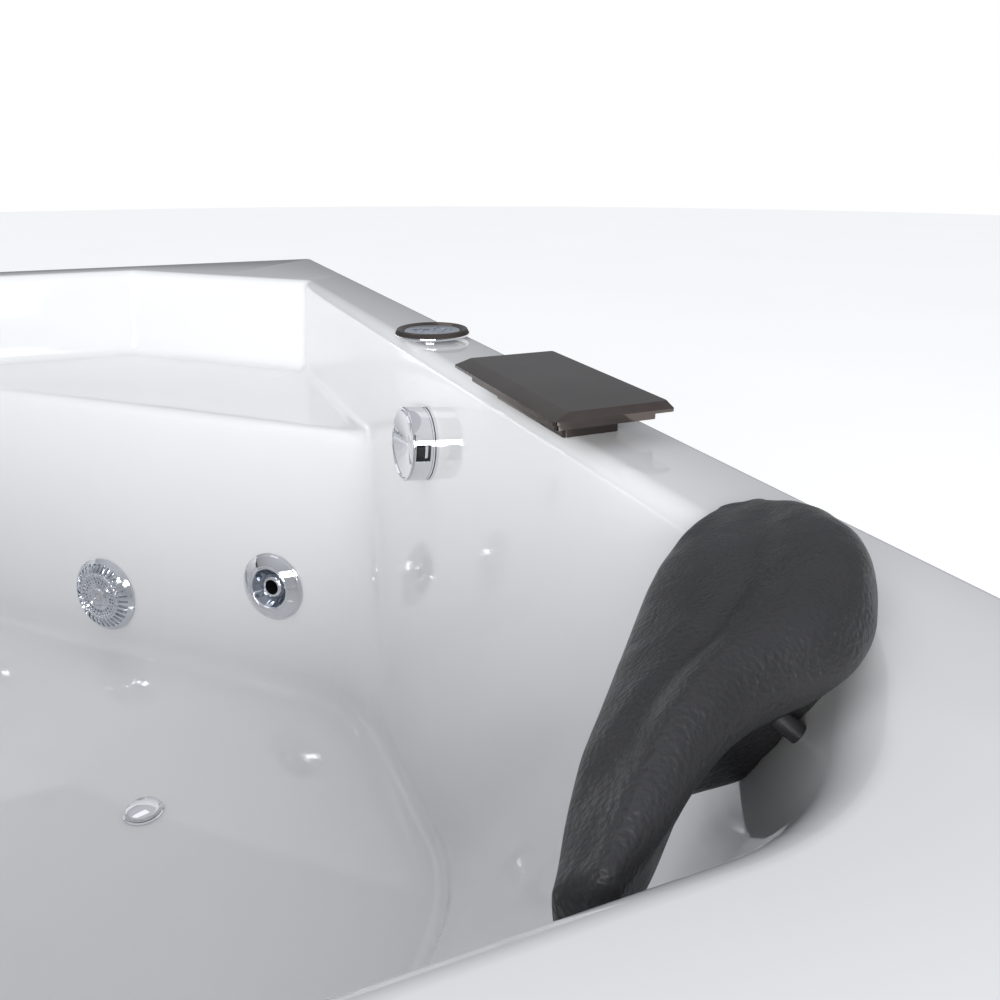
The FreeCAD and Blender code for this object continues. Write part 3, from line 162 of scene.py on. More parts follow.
def shelf_rows(grow, level, hollow_z, nose_z):
    """Rows of the wall's step at the shelf: a hollow, the flat shelf and its rounded nose."""
    plans = basin_plan(shelf_z, grow), basin_plan(shelf_z, grow, shelf=False)
    wide = np.maximum(reach(plans[0], turns) - reach(plans[1], turns), 1e-6)
    hollow, nose = hollow_z / facing(plans[0]), nose_z / facing(plans[1])
    fit = np.minimum(1, 0.98 * wide / (hollow + nose))
    flat = wide - (hollow + nose) * fit
    quarter = np.linspace(0, math.pi / 2, 8)
    shapes = [(hollow * fit * (1 - math.cos(t)), level + hollow_z * (1 - math.sin(t))) for t in quarter]
    shapes += [(hollow * fit + flat * part, level) for part in (0.25, 0.5, 0.75)]
    shapes += [(wide - nose * fit * (1 - math.sin(t)), level - nose_z * (1 - math.cos(t)))
               for t in quarter]
    full = ease(np.clip(wide / (hollow + nose) / 1.3, 0, 1))
    top, low = level + hollow_z, level - nose_z
    ends = [[reach(basin_plan(z, grow, shelf=kind), turns) for z in (top, low)]
            for kind in (True, False)]
    rows = []
    for k, (inset, z) in enumerate(shapes):
        part = k / (len(shapes) - 1)
        even = mix((top, low), part)
        z = even + (z - even) * full
        inward = ease(part) + (inset / wide - ease(part)) * full
        down = (top - z) / (top - low)
        upper, lower = mix(ends[0], down), mix(ends[1], down)
        rows.append((upper + (lower - upper) * inward, z))
    return rows


def shell_front():
    """Rows from the foot of the outer lip, over the rim and down to the basin floor."""
    rows = [(rim_plan(), z) for z in np.linspace(lip_z, rim_z - rim_edge, 4)]
    for t in np.linspace(0, math.pi / 2, 6)[1:]:
        rows.append((rim_plan(-rim_edge * (1 - math.cos(t))), rim_z - rim_edge * (1 - math.sin(t))))
    for t in np.linspace(0, math.pi / 2, 9):
        drop = rim_round * (1 - math.cos(t))
        rows.append((basin_plan(rim_z - drop, rim_round * (1 - math.sin(t))), rim_z - drop))
    for z in np.linspace(rim_z - rim_round, shelf_z + shelf_hollow, 6)[1:-1]:
        rows.append((basin_plan(z), z))
    rows += shelf_rows(0.0, shelf_z, shelf_hollow, shelf_nose)
    for z in np.linspace(shelf_z - shelf_nose, cove_top, 20)[1:]:
        rows.append((basin_plan(z, shelf=False), z))
    for t in np.linspace(0, math.pi / 2, 9)[1:]:
        plan = basin_plan(cove_top, -cove * (1 - math.cos(t)), shelf=False)
        rows.append((plan, cove_top - cove * math.sin(t)))
    return rows


def shell_back():
    """Rows of the fibre side, from under the floor up to the inside of the outer lip."""
    rows = []
    deep = cove + shell_t
    for t in np.linspace(math.pi / 2, 0, 6):
        plan = basin_plan(cove_top, shell_t - deep * (1 - math.cos(t)), shelf=False)
        rows.append((plan, cove_top - deep * math.sin(t)))
    under, hollow, nose = shelf_z - shell_t, shelf_hollow + shell_t, shelf_nose - shell_t
    for z in np.linspace(cove_top, under - nose, 14)[1:-1]:
        rows.append((basin_plan(z, shell_t, shelf=False), z))
    rows += shelf_rows(shell_t, under, hollow, nose)[::-1]
    for z in np.linspace(under + hollow, rim_z - shell_t, 5)[1:]:
        rows.append((basin_plan(z, shell_t), z))
    return rows + [(rim_plan(-shell_t), rim_z - shell_t), (rim_plan(-shell_t), lip_z)]


def band(low, high, count):
    """Faces between two rows of a closed skin."""
    return [[low * count + k, low * count + (k + 1) % count,
             high * count + (k + 1) % count, high * count + k] for k in range(count)]


def shell_mesh():
    """A closed skin over the front rows and the back rows, with a flat floor on each side."""
    front = shell_front()
    rows = front + shell_back()
    count = len(turns)
    points = []
    for plan, z in rows:
        far = reach(plan, turns) if plan.ndim == 2 else plan
        level = np.broadcast_to(z, far.shape)
        points.append(np.stack([far * np.cos(turns), far * np.sin(turns), level], axis=1))
    faces = []
    for low in range(len(rows)):
        high = (low + 1) % len(rows)
        if high == len(front):
            faces.append([low * count + k for k in range(count)])
            faces.append([high * count + k for k in reversed(range(count))])
        else:
            faces += band(low, high, count)
    mesh = bpy.data.meshes.new("tub_shell_skin")
    mesh.from_pydata(np.vstack(points).tolist(), [], faces)
    seen = len(front) * count
    mesh.polygons.foreach_set("material_index", [0 if min(face) < seen else 1 for face in faces])
    return mesh


def smooth(mesh, angle=32):
    mesh.shade_smooth()
    mesh.set_sharp_from_angle(angle=math.radians(angle))


def piece(name, mesh, materials, body="tub", stands_for=()):
    """A mesh put in the scene as a piece of one body, in place of the CAD nodes it stands for."""
    made = bpy.data.objects.new(name, mesh)
    bpy.context.scene.collection.objects.link(made)
    for material in materials:
        mesh.materials.append(material)
    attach(made, body)
    if stands_for:
        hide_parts(*stands_for)
    return made


def dress(material, *nodes):
    """Give carried-over CAD nodes their material."""
    for name in nodes:
        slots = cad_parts[name].data.materials
        for k in range(len(slots)):
            slots[k] = material


def stand(spot, axis):
    """The place of a fitting drawn in millimetres with its axis along Z, its X level."""
    out = Vector(axis).normalized()
    level = Vector((0, 0, 1)).cross(out)
    level = level.normalized() if level.length > 1e-6 else Vector((1, 0, 0))
    turn = Matrix((level, out.cross(level), out)).transposed().to_4x4()
    return Matrix.Translation(spot) @ turn @ Matrix.Scale(mm, 4)


def rod(radius, low, high, place, steps=48):
    """A round drill for a hole, in millimetres along its own axis."""
    drill = bmesh.new()
    bmesh.ops.create_cone(drill, cap_ends=True, segments=steps, radius1=radius, radius2=radius,
                          depth=high - low, matrix=place @ Matrix.Translation((0, 0, (low + high) / 2)))
    return drill


def cut_out(mesh, drills):
    """The mesh with every drill cut out of it."""
    tool = bmesh.new()
    for drill in drills:
        loose = bpy.data.meshes.new("drill")
        drill.to_mesh(loose)
        drill.free()
        tool.from_mesh(loose)
        bpy.data.meshes.remove(loose)
    cutter = bpy.data.meshes.new("cutter")
    tool.to_mesh(cutter)
    tool.free()
    held = [bpy.data.objects.new("cut_work", mesh), bpy.data.objects.new("cut_tool", cutter)]
    for part in held:
        bpy.context.scene.collection.objects.link(part)
    change = held[0].modifiers.new("cut", "BOOLEAN")
    change.operation, change.solver, change.object = "DIFFERENCE", "EXACT", held[1]
    bpy.context.view_layer.update()
    shown = held[0].evaluated_get(bpy.context.evaluated_depsgraph_get())
    done = bpy.data.meshes.new_from_object(shown)
    for part in held:
        bpy.data.objects.remove(part)
    return done


jet_z = 0.28
jet_places = [stand((0.559672, 0.175006, jet_z), (-0.702436, -0.702436, 0.114749)),
              stand((0.175006, 0.559672, jet_z), (-0.702436, -0.702436, 0.114749)),
              stand((-0.426808, -0.158108, jet_z), (0.703194, 0.703194, 0.105049)),
              stand((-0.158108, -0.426808, jet_z), (0.703194, 0.703194, 0.105049))]
suction_place = stand((0.366800, 0.358400, 0.222), (-0.702436, -0.702436, 0.114749))
overflow_place = stand((0.673070, -0.089, 0.523), (-0.995974, 0, 0.089638))
drain_place = stand((0.387, -0.018, 0), (0, 0, 1))
pad_place = stand((0.710, -0.003, 0), (0, 0, 1))
spout_place = stand((0.712, -0.2915, 0), (0, 0, 1))
rim_valves = [stand((x, 0.714, 0), (0, 0, 1)) for x in (0.05, 0.19, -0.19)]
through = 30              # how far a drill goes each way, in millimetres
jet_hole, suction_hole, overflow_hole, waste_hole = 30.5, 34.5, 21.5, 16.5
pad_hole, spout_hole, valve_hole = 19.5, 13.5, 15.5
on_floor = (floor_z / mm - through, floor_z / mm + through)
on_rim = (rim_z / mm - through, rim_z / mm + through)

drills = [rod(jet_hole, -through, through, place) for place in jet_places]
drills.append(rod(suction_hole, -through, through, suction_place))
drills.append(rod(overflow_hole, -through, through, overflow_place))
drills += [rod(waste_hole, *on_floor, drain_place), rod(pad_hole, *on_rim, pad_place)]
drills += [rod(spout_hole, *on_rim, spout_place)] + [rod(valve_hole, *on_rim, at) for at in rim_valves]


def node(tree, kind, inputs=None, **settings):
    """Add a shader node. An input is a number, a colour or another node's output."""
    made = tree.nodes.new(kind if kind.startswith("NodeGroup") else "ShaderNode" + kind)
    for key, value in settings.items():
        setattr(made, key, value)
    for key, value in (inputs or {}).items():
        if isinstance(value, bpy.types.NodeSocket):
            tree.links.new(value, made.inputs[key])
        else:
            made.inputs[key].default_value = value
    return made


def effect(name, inputs, outputs):
    """Start a shader node group: its tree, its inputs by name and its outputs to fill."""
    tree = bpy.data.node_groups.new(name, "ShaderNodeTree")
    for label, kind, value in inputs:
        socket = tree.interface.new_socket(name=label, in_out="INPUT", socket_type="NodeSocket" + kind)
        socket.default_value = value
    for label, kind in outputs:
        tree.interface.new_socket(name=label, in_out="OUTPUT", socket_type="NodeSocket" + kind)
    return tree, node(tree, "NodeGroupInput").outputs, node(tree, "NodeGroupOutput").inputs


def point_at(tree):
    return node(tree, "TexCoord").outputs["Object"]


def blended(tree, share, first, second):
    """A colour between two, by a share."""
    return node(tree, "Mix", {0: share, 6: first, 7: second}, data_type="RGBA").outputs[2]


def tone_effect():
    """Slow drift between two close tones over a surface."""
    tree, given, out = effect("tone", [("Colour", "Color", (0.8, 0.8, 0.8, 1)),
                                       ("Second", "Color", (0.7, 0.7, 0.7, 1)),
                                       ("Scale", "Float", 4.0)], [("Colour", "Color")])
    cloud = node(tree, "TexNoise", {"Vector": point_at(tree), "Scale": given["Scale"], "Detail": 5.0})
    share = node(tree, "MapRange", {"Value": cloud.outputs["Fac"], "From Min": 0.36, "From Max": 0.64})
    tree.links.new(blended(tree, share.outputs[0], given["Colour"], given["Second"]), out["Colour"])
    return tree


def smudge_effect():
    """Roughness that drifts between two values, with fine rub marks in it."""
    tree, given, out = effect("smudge", [("Low", "Float", 0.1), ("High", "Float", 0.2),
                                         ("Scale", "Float", 20.0)], [("Roughness", "Float")])
    cloud = node(tree, "TexNoise", {"Vector": point_at(tree), "Scale": given["Scale"], "Detail": 8.0,
                                    "Roughness": 0.65})
    level = node(tree, "MapRange", {"Value": cloud.outputs["Fac"], "From Min": 0.35, "From Max": 0.7,
                                    "To Min": given["Low"], "To Max": given["High"]})
    tree.links.new(level.outputs[0], out["Roughness"])
    return tree


def peel_effect():
    """The slight orange peel of a moulded, cast or plated skin."""
    tree, given, out = effect("peel", [("Scale", "Float", 300.0), ("Strength", "Float", 0.1)],
                              [("Normal", "Vector")])
    cloud = node(tree, "TexNoise", {"Vector": point_at(tree), "Scale": given["Scale"], "Detail": 2.0})
    bump = node(tree, "Bump", {"Height": cloud.outputs["Fac"], "Strength": given["Strength"],
                               "Distance": 0.0004})
    tree.links.new(bump.outputs[0], out["Normal"])
    return tree


tone, smudge, peel = tone_effect(), smudge_effect(), peel_effect()


def finish(name, colours, gloss, skin, constants=None):
    """A material that drifts between two tones and two roughnesses over a fine skin."""
    material = bpy.data.materials.new(name)
    material.use_nodes = True
    tree = material.node_tree
    shader = tree.nodes["Principled BSDF"]
    for socket, value in (constants or {}).items():
        shader.inputs[socket].default_value = value
    first, second, drift = colours
    low, high, rub = gloss
    size, depth = skin
    tones = {"Colour": (*first, 1), "Second": (*second, 1), "Scale": drift}
    drifting = node(tree, "Group", tones, node_tree=tone)
    rubbed = node(tree, "Group", {"Low": low, "High": high, "Scale": rub}, node_tree=smudge)
    dimpled = node(tree, "Group", {"Scale": size, "Strength": depth}, node_tree=peel)
    tree.links.new(drifting.outputs[0], shader.inputs["Base Color"])
    tree.links.new(rubbed.outputs[0], shader.inputs["Roughness"])
    tree.links.new(dimpled.outputs[0], shader.inputs["Normal"])
    return material


acrylic = finish("white_acrylic", ((0.83, 0.835, 0.84), (0.80, 0.805, 0.81), 2.5), (0.045, 0.09, 9.0),
                 (38.0, 0.05), {"Coat Weight": 0.35, "Coat Roughness": 0.05, "Specular IOR Level": 0.5})


def strands_effect():
    """Chopped glass under resin: crossed strands as a mask and as relief."""
    tree, given, out = effect("strands", [("Scale", "Float", 1.0), ("Strength", "Float", 0.5)],
                              [("Mask", "Float"), ("Normal", "Vector")])
    laid = []
    for turn, seed in ((0.3, 0.0), (1.4, 3.0), (2.4, 7.0)):
        placed = node(tree, "Mapping", {"Vector": point_at(tree), "Rotation": (turn, turn * 0.7, turn),
                                        "Location": (seed, seed, seed), "Scale": (40, 420, 420)})
        strand = node(tree, "TexNoise", {"Vector": placed.outputs[0], "Scale": given["Scale"]})
        laid.append(strand.outputs["Fac"])
    crossed = node(tree, "Math", {0: laid[0], 1: laid[1]}, operation="MAXIMUM").outputs[0]
    crossed = node(tree, "Math", {0: crossed, 1: laid[2]}, operation="MAXIMUM").outputs[0]
    mask = node(tree, "MapRange", {"Value": crossed, "From Min": 0.55, "From Max": 0.75}).outputs[0]
    bump = node(tree, "Bump", {"Height": mask, "Strength": given["Strength"], "Distance": 0.0012})
    tree.links.new(mask, out["Mask"])
    tree.links.new(bump.outputs[0], out["Normal"])
    return tree


strands = strands_effect()


def fibre_back():
    material = finish("glass_fibre_back", ((0.72, 0.70, 0.62), (0.62, 0.60, 0.52), 6.0),
                      (0.35, 0.6, 30.0), (200.0, 0.2))
    tree = material.node_tree
    shader = tree.nodes["Principled BSDF"]
    laid = node(tree, "Group", node_tree=strands)
    colour = shader.inputs["Base Color"].links[0].from_socket
    strewn = blended(tree, laid.outputs["Mask"], colour, (0.85, 0.84, 0.78, 1))
    tree.links.new(strewn, shader.inputs["Base Color"])
    tree.links.new(laid.outputs["Normal"], shader.inputs["Normal"])
    return material


shell = shell_mesh()
turned_out = bmesh.new()
turned_out.from_mesh(shell)
bmesh.ops.recalc_face_normals(turned_out, faces=turned_out.faces)
turned_out.to_mesh(shell)
turned_out.free()
shell = cut_out(shell, drills)
smooth(shell, 40)
piece("tub_shell_skin", shell, [acrylic, fibre_back()], stands_for=["tub_shell"])


# ---------------------------------------------------------------- side panels
# The service panel across the cut corner and the two short side panels: acrylic, like the tub.
# Each hangs on plastic blocks under the rim, with screws along its foot.

apron_acrylic = finish("panel_acrylic", ((0.82, 0.825, 0.83), (0.79, 0.795, 0.80), 2.0),
                       (0.07, 0.13, 8.0), (38.0, 0.07), {"Coat Weight": 0.4, "Coat Roughness": 0.05})
plated_screw = finish("zinc_screws", ((0.62, 0.63, 0.64), (0.50, 0.50, 0.48), 60.0),
                      (0.25, 0.45, 90.0), (400.0, 0.15), {"Metallic": 1.0})
dress(apron_acrylic, "apron_front", "apron_sides")
dress(plated_screw, "apron_screws")


# ---------------------------------------------------------------- base frame
# Welded square steel tube, painted grey, with posts up to the rim and timber bearers under the floor.
# It stands on seven levelling feet: a plastic pad, a zinc bolt and its lock nut.

painted_steel = finish("grey_painted_steel", ((0.30, 0.31, 0.32), (0.24, 0.25, 0.26), 12.0),
                       (0.35, 0.55, 40.0), (260.0, 0.25), {"Metallic": 0.3})
galvanised = finish("galvanised_fasteners", ((0.66, 0.67, 0.68), (0.52, 0.53, 0.55), 90.0),
                    (0.25, 0.5, 120.0), (500.0, 0.2), {"Metallic": 1.0})
black_plastic = finish("black_plastic", ((0.022, 0.022, 0.024), (0.032, 0.032, 0.034), 30.0),
                       (0.38, 0.55, 80.0), (700.0, 0.3))


def timber():
    """Planed softwood: long growth rings across the grain and fine pores along it."""
    material = finish("planed_timber", ((0.55, 0.38, 0.21), (0.47, 0.31, 0.16), 10.0), (0.5, 0.7, 60.0),
                      (350.0, 0.2))
    tree = material.node_tree
    shader = tree.nodes["Principled BSDF"]
    along = node(tree, "Mapping", {"Vector": point_at(tree), "Scale": (4, 60, 60)})
    bent = node(tree, "TexNoise", {"Vector": along.outputs[0], "Scale": 1.0, "Detail": 4.0})
    rings = node(tree, "TexWave", {"Vector": along.outputs[0], "Scale": 0.35, "Distortion": 3.0,
                                   "Detail": 3.0}, wave_type="RINGS", rings_direction="X")
    dark = node(tree, "Math", {0: rings.outputs["Fac"], 1: bent.outputs["Fac"]}, operation="MULTIPLY")
    colour = shader.inputs["Base Color"].links[0].from_socket
    ringed = blended(tree, dark.outputs[0], colour, (0.33, 0.20, 0.10, 1))
    tree.links.new(ringed, shader.inputs["Base Color"])
    return material


dress(painted_steel, "base_frame", "rim_posts")
dress(timber(), "floor_bearers")
dress(black_plastic, "foot_pads", "apron_blocks")
dress(galvanised, "foot_bolts", "foot_nuts")


# ---------------------------------------------------------------- jets
# Chromed bezels that turn for the air and water flow, each round a ball nozzle aimed by hand.
# A white ABS body is clamped behind the wall with a plastic nut.

chrome = finish("polished_chrome", ((0.80, 0.81, 0.83), (0.76, 0.77, 0.80), 14.0), (0.025, 0.07, 60.0),
                (30.0, 0.02), {"Metallic": 1.0})
# A darker, bluer copy of the chrome, laid in the bezel's bowl as painted shade.
bowl_chrome_painted_shade = finish("bowl_chrome_painted_shade", ((0.34, 0.37, 0.42), (0.27, 0.30, 0.36), 50.0), (0.06, 0.14, 90.0),
                     (120.0, 0.06), {"Metallic": 1.0})
# Near black laid in bores, the knob's pocket and behind the strainer: painted shade where light does not
# reach.
painted_shade_black = finish("painted_shade_black", ((0.012, 0.012, 0.014), (0.018, 0.018, 0.02), 80.0), (0.3, 0.5, 90.0),
                   (600.0, 0.1))
white_plastic = finish("white_abs", ((0.74, 0.74, 0.72), (0.70, 0.70, 0.67), 18.0), (0.28, 0.42, 50.0),
                       (500.0, 0.12))


def softened(profile, cut=0.4, closed=False):
    """The same profile with its corners rounded."""
    done = []
    for k, point in enumerate(profile):
        here = np.array(point, float)
        if not closed and k in (0, len(profile) - 1):
            done.append(tuple(here))
            continue
        back = np.array(profile[k - 1], float) - here
        on = np.array(profile[(k + 1) % len(profile)], float) - here
        far_back, far_on = np.linalg.norm(back), np.linalg.norm(on)
        if np.dot(back, on) / (far_back * far_on) < -0.94:
            done.append(tuple(here))
            continue
        use = min(cut, 0.4 * far_back, 0.4 * far_on)
        start, end = here + back / far_back * use, here + on / far_on * use
        for t in (0.0, 0.35, 0.65, 1.0):
            done.append(tuple((1 - t) ** 2 * start + 2 * t * (1 - t) * here + t ** 2 * end))
    return done


def turned(name, profile, place, steps=96, carve=None, second=None):
    """A closed turned form. The profile runs from axis to axis, or round a bore."""
    points, rows, faces, marks = [], [], [], []
    for r, z in profile:
        if r < 1e-6:
            rows.append([len(points)] * steps)
            points.append((0, 0, z))
            continue
        rows.append(list(range(len(points), len(points) + steps)))
        for k in range(steps):
            angle = 2 * math.pi * k / steps
            far, high = carve(r, z, angle) if carve else (r, z)
            points.append((far * math.cos(angle), far * math.sin(angle), high))
    pairs = list(zip(range(len(rows)), range(1, len(rows))))
    if profile[0][0] > 1e-6:
        pairs.append((len(rows) - 1, 0))
    for low, high in pairs:
        r, z = (np.array(profile[low]) + np.array(profile[high])) / 2
        for k in range(steps):
            after = (k + 1) % steps
            mark = int(second(r, z, 2 * math.pi * (k + 0.5) / steps)) if second else 0
            ring = [rows[low][k], rows[low][after], rows[high][after], rows[high][k]]
            faces.append(list(dict.fromkeys(ring)))
            marks.append(mark)
    mesh = bpy.data.meshes.new(name)
    mesh.from_pydata(points, [], faces)
    mesh.polygons.foreach_set("material_index", marks)
    outward(mesh)
    mesh.transform(place)
    return mesh


def outward(mesh):
    work = bmesh.new()
    work.from_mesh(mesh)
    bmesh.ops.recalc_face_normals(work, faces=work.faces)
    work.to_mesh(mesh)
    work.free()


def arc(radius, middle, first, last, steps=8):
    """Profile points of a ball, by their heights from its middle."""
    heights = [mix((first, last), k / steps) for k in range(steps + 1)]
    return [(math.sqrt(radius ** 2 - h ** 2), middle + h) for h in heights]


ball_low = -8.0
flutes = 14
ring_profile = softened([(23.6, 9.2), (24.6, 10.6), (25.6, 11.0), (26.6, 10.5), (27.3, 9.9),
                         (28.2, 10.3), (39.2, 4.2), (40.0, 3.1), (42.0, 2.0), (42.0, 0.3), (38.3, 0.3),
                         (38.3, 2.9), (26.7, 2.9), (26.7, -15.0)], 0.5)
ring_profile += arc(17.3, ball_low, -7.0, 7.0)
ring_profile += [(17.2, 0.6), (18.9, 3.2), (20.6, 5.6), (22.2, 7.7)]


def bowl_swirl(r, z, angle):
    """Swirled flutes down the inside of the bowl."""
    if z < -1.0 or r > 23.0 or r < 15.9:
        return r, z
    part = math.sin(math.pi * (r - 15.8) / 7.4)
    return r, z - 0.9 * part * (0.5 + 0.5 * math.sin(flutes * angle + 0.55 * (r - 16)))


def nozzle_flutes(r, z, angle):
    """Shallow flutes round the face of the ball."""
    if z < 0.5 or r < 12.1:
        return r, z
    return r - 0.35 * (0.5 + 0.5 * math.cos(12 * angle)), z


nozzle_profile = [(8.5, 1.5), (8.7, 3.1), (9.3, 4.0), (10.8, 4.0), (11.6, 3.7)]
nozzle_profile += arc(17.0, ball_low, 11.4, -12.04, 14) + [(8.5, -20.04), (8.5, -10.0)]


# Faces of the bezel's bowl, which take the darker chrome as painted shade.
def painted_shade_in_bowl(r, z, angle):
    return r < 23.2 and z > -15


# Faces inside the ball's bore, painted near black as shade.
def painted_shade_in_bore(r, z, angle):
    return r < 8.65


# Each bezel's bowl gets the darker chrome and each ball's bore is painted near black, both as painted
# shade.
for k, place in enumerate(jet_places, 1):
    ring, ball = f"jet_ring_{k}", f"jet_nozzle_{k}"
    mesh = turned(f"jet_bezel_{k}", ring_profile, place, 168, bowl_swirl, painted_shade_in_bowl)
    smooth(mesh, 38)
    piece(f"jet_bezel_{k}", mesh, [chrome, bowl_chrome_painted_shade], ring + "_body", [ring])
    mesh = turned(f"jet_ball_{k}", nozzle_profile, place, 144, nozzle_flutes, painted_shade_in_bore)
    smooth(mesh, 38)
    piece(f"jet_ball_{k}", mesh, [chrome, painted_shade_black], ball + "_body", [ball])
dress(white_plastic, "jet_bodies", "wall_nuts")


# ---------------------------------------------------------------- suction cover
# A chromed ABS strainer over the pump's intake: ribbed rim, ridges and rows of small holes.
# One screw in the middle holds it to the flanged body behind the wall.

cover_r = 49.0
slots = 32
cover_profile = [(2.6, 6.0), (29.0, 6.0), (cover_r - 3.6, 3.0), (cover_r - 3.6, 0.3),
                 (cover_r - 0.4, 0.3), (cover_r, 0.8), (cover_r, 2.7), (cover_r - 0.6, 3.3),
                 (cover_r - 3.0, 4.9)]
cover_rims = 14
for k in range(cover_rims + 1):
    part = k / cover_rims
    cover_profile.append((mix((cover_r - 4.4, 31.0), part), mix((6.2, 13.6), part ** 0.8)))
cover_profile += [(30.4, 14.3), (29.4, 14.5), (28.4, 14.2), (27.8, 13.5), (27.0, 13.1)]
cover_profile += [(26.4 - 0.55 * k, 13.2 + 0.45 * math.sin(math.pi * k / 3.2) ** 2) for k in range(26)]
cover_profile += [(11.6, 13.3), (10.9, 14.1), (10.2, 14.9), (9.2, 15.0), (5.6, 15.0), (5.2, 14.6),
                  (5.2, 12.0), (2.6, 12.0)]


def cover_relief(r, z, angle):
    """Deep slots between the rim's ribs, scallops on the bright ring and rows of holes."""
    if z < 4.5 or r < 11.5:
        return r, z
    turn = math.cos(slots * angle)
    if 31.5 < r < cover_r - 5.5:
        return r, z - 3.6 * min(1, max(0, (turn + 0.15) * 3.5))
    if 27.7 < r < 31.5:
        return r, z - 0.8 * (0.5 + 0.5 * turn)
    for ring, count in ((24.5, 32), (20.2, 26)):
        if abs(r - ring) < 1.0 and z > 8:
            return r, z - 2.2 * min(1, max(0, (math.cos(count * angle) - 0.35) * 4))
    return r, z



# Faces behind and under the cover, painted near black as the shade seen through the slots.
def painted_shade_behind_cover(r, z, angle):
    return z < 6.1 and r < cover_r - 5


strainer = turned("strainer", cover_profile, suction_place, 512, cover_relief, painted_shade_behind_cover)
smooth(strainer, 30)
cover_chrome = finish("plated_abs", ((0.74, 0.76, 0.79), (0.66, 0.68, 0.72), 26.0), (0.05, 0.12, 70.0),
                      (90.0, 0.05), {"Metallic": 1.0})
piece("strainer", strainer, [cover_chrome, painted_shade_black], stands_for=["suction_cover"])
steel_screw = finish("bright_screw", ((0.70, 0.70, 0.70), (0.60, 0.60, 0.60), 90.0), (0.15, 0.3, 160.0),
                     (600.0, 0.1), {"Metallic": 1.0})
dress(steel_screw, "suction_screw")
dress(white_plastic, "suction_body")


# ---------------------------------------------------------------- overflow knob
# A chromed brass drum on the right wall. Turning it pulls the cable that lifts the waste's plug.
# Its dished face has a crease across it, and a finger pocket opens in its side, its inside painted near
# black as shade.

knob_low, knob_top, knob_r = 2.9, 22.9, 33.0
face_rows = [(mix((30.0, 1.5), k / 16), mix((knob_top - 0.3, knob_top - 6.0), k / 16))
             for k in range(17)]
knob_profile = [(0, knob_low + 8), (29, knob_low + 8), (29, knob_low), (32.7, knob_low),
                (knob_r, knob_low + 0.3),
                (knob_r, knob_low + 1.8), (knob_r - 0.7, knob_low + 2.1), (knob_r - 0.7, knob_low + 2.7),
                (knob_r, knob_low + 3.0)]
knob_profile += [(knob_r, mix((knob_low + 3.0, knob_top - 1.2), k / 12)) for k in range(1, 13)]
knob_profile += [(32.8, knob_top - 0.6), (32.3, knob_top - 0.15), (31.6, knob_top),
                 (30.8, knob_top - 0.05)]
knob_profile += face_rows + [(0, knob_top - 6.05)]


def knob_relief(r, z, angle):
    """The crease across the face and the finger pocket in the drum's side."""
    across, up = r * math.cos(angle), r * math.sin(angle)
    if r < 30.5 and z > knob_top - 7:
        fold = math.exp(-(up / 1.6) ** 2) * min(1, max(0, (14 - across) / 10))
        hollow = math.exp(-((across - 17) / 9) ** 2 - ((up - 12) / 7) ** 2)
        return r, z - 0.5 * fold - 1.5 * hollow + 0.05 * up
    if r > knob_r - 0.2 and knob_low + 4 < z < knob_top - 2.4:
        near = abs(math.atan2(math.sin(angle), math.cos(angle))) * knob_r
        part = min(1, max(0, (7.5 - near) / 1.2)) * min(1, max(0, (z - knob_low - 4.3) / 1.2))
        part *= min(1, max(0, (knob_top - 3.0 - z) / 1.2))
        return r - 5.0 * part, z
    return r, z




# Faces inside the finger pocket, painted near black as shade.
def painted_shade_in_pocket(r, z, angle):
    return r > knob_r - 0.2 and knob_low + 4.8 < z < knob_top - 3 and math.cos(angle) > 0.978


knob = turned("overflow_drum", knob_profile, overflow_place, 288, knob_relief, painted_shade_in_pocket)
smooth(knob, 34)
spindle_profile = softened([(0, -24), (5, -24), (5, 11.2), (0, 11.2)], 0.4)
spindle = turned("overflow_spindle", spindle_profile, overflow_place, 48)
smooth(spindle)
piece("overflow_drum", knob, [chrome, painted_shade_black], "overflow_knob_body", ["overflow_knob"])
piece("overflow_spindle", spindle, [plated_screw], "overflow_knob_body")
dress(white_plastic, "overflow_elbow", "overflow_pipe")
brass = finish("cast_brass", ((0.72, 0.52, 0.24), (0.60, 0.42, 0.18), 30.0), (0.22, 0.4, 70.0),
               (320.0, 0.2), {"Metallic": 1.0})
dress(chrome, "overflow_body")
dress(brass, "drain_body", "drain_nut", "rim_nuts", "mixing_pipe")


# ---------------------------------------------------------------- pop-up waste
# A small domed chrome cap in the basin's floor, lifted by a steel cable from the overflow.
# Its flange is clamped on the floor by the waste body and nut below.

cap_low = 152.4
cap_profile = [(0, cap_low), (17.2, cap_low), (17.8, cap_low + 0.3), (18.0, cap_low + 0.9),
               (17.7, cap_low + 1.8)]
cap_profile += [(18.0 * math.cos(t) * 0.96, cap_low + 2.4 + 4.6 * math.sin(t))
                for t in np.linspace(0.08, 1.5, 14)]
cap_profile += [(0, cap_low + 7.0)]
cap = turned("waste_cap", cap_profile, drain_place, 96)
smooth(cap, 34)
piece("waste_cap", cap, [chrome], "drain_plug_body", ["drain_plug"])
stem_profile = softened([(0, 99), (3.5, 99), (3.5, cap_low - 14), (12.7, cap_low - 14),
                         (12.7, cap_low - 10), (3.5, cap_low - 10), (3.5, cap_low), (0, cap_low)], 0.5)
stem = turned("waste_stem", stem_profile, drain_place, 64)
smooth(stem)
piece("waste_stem", stem, [brass], "drain_plug_body")
dress(chrome, "drain_flange")
dress(galvanised, "lift_cable")


# ---------------------------------------------------------------- control panel
# A round keypad on a neck through the rim: dark chromed bezel, grey-blue display and three keys.
# The bezel is pressed on the neck, and a plastic nut holds it from under the rim.

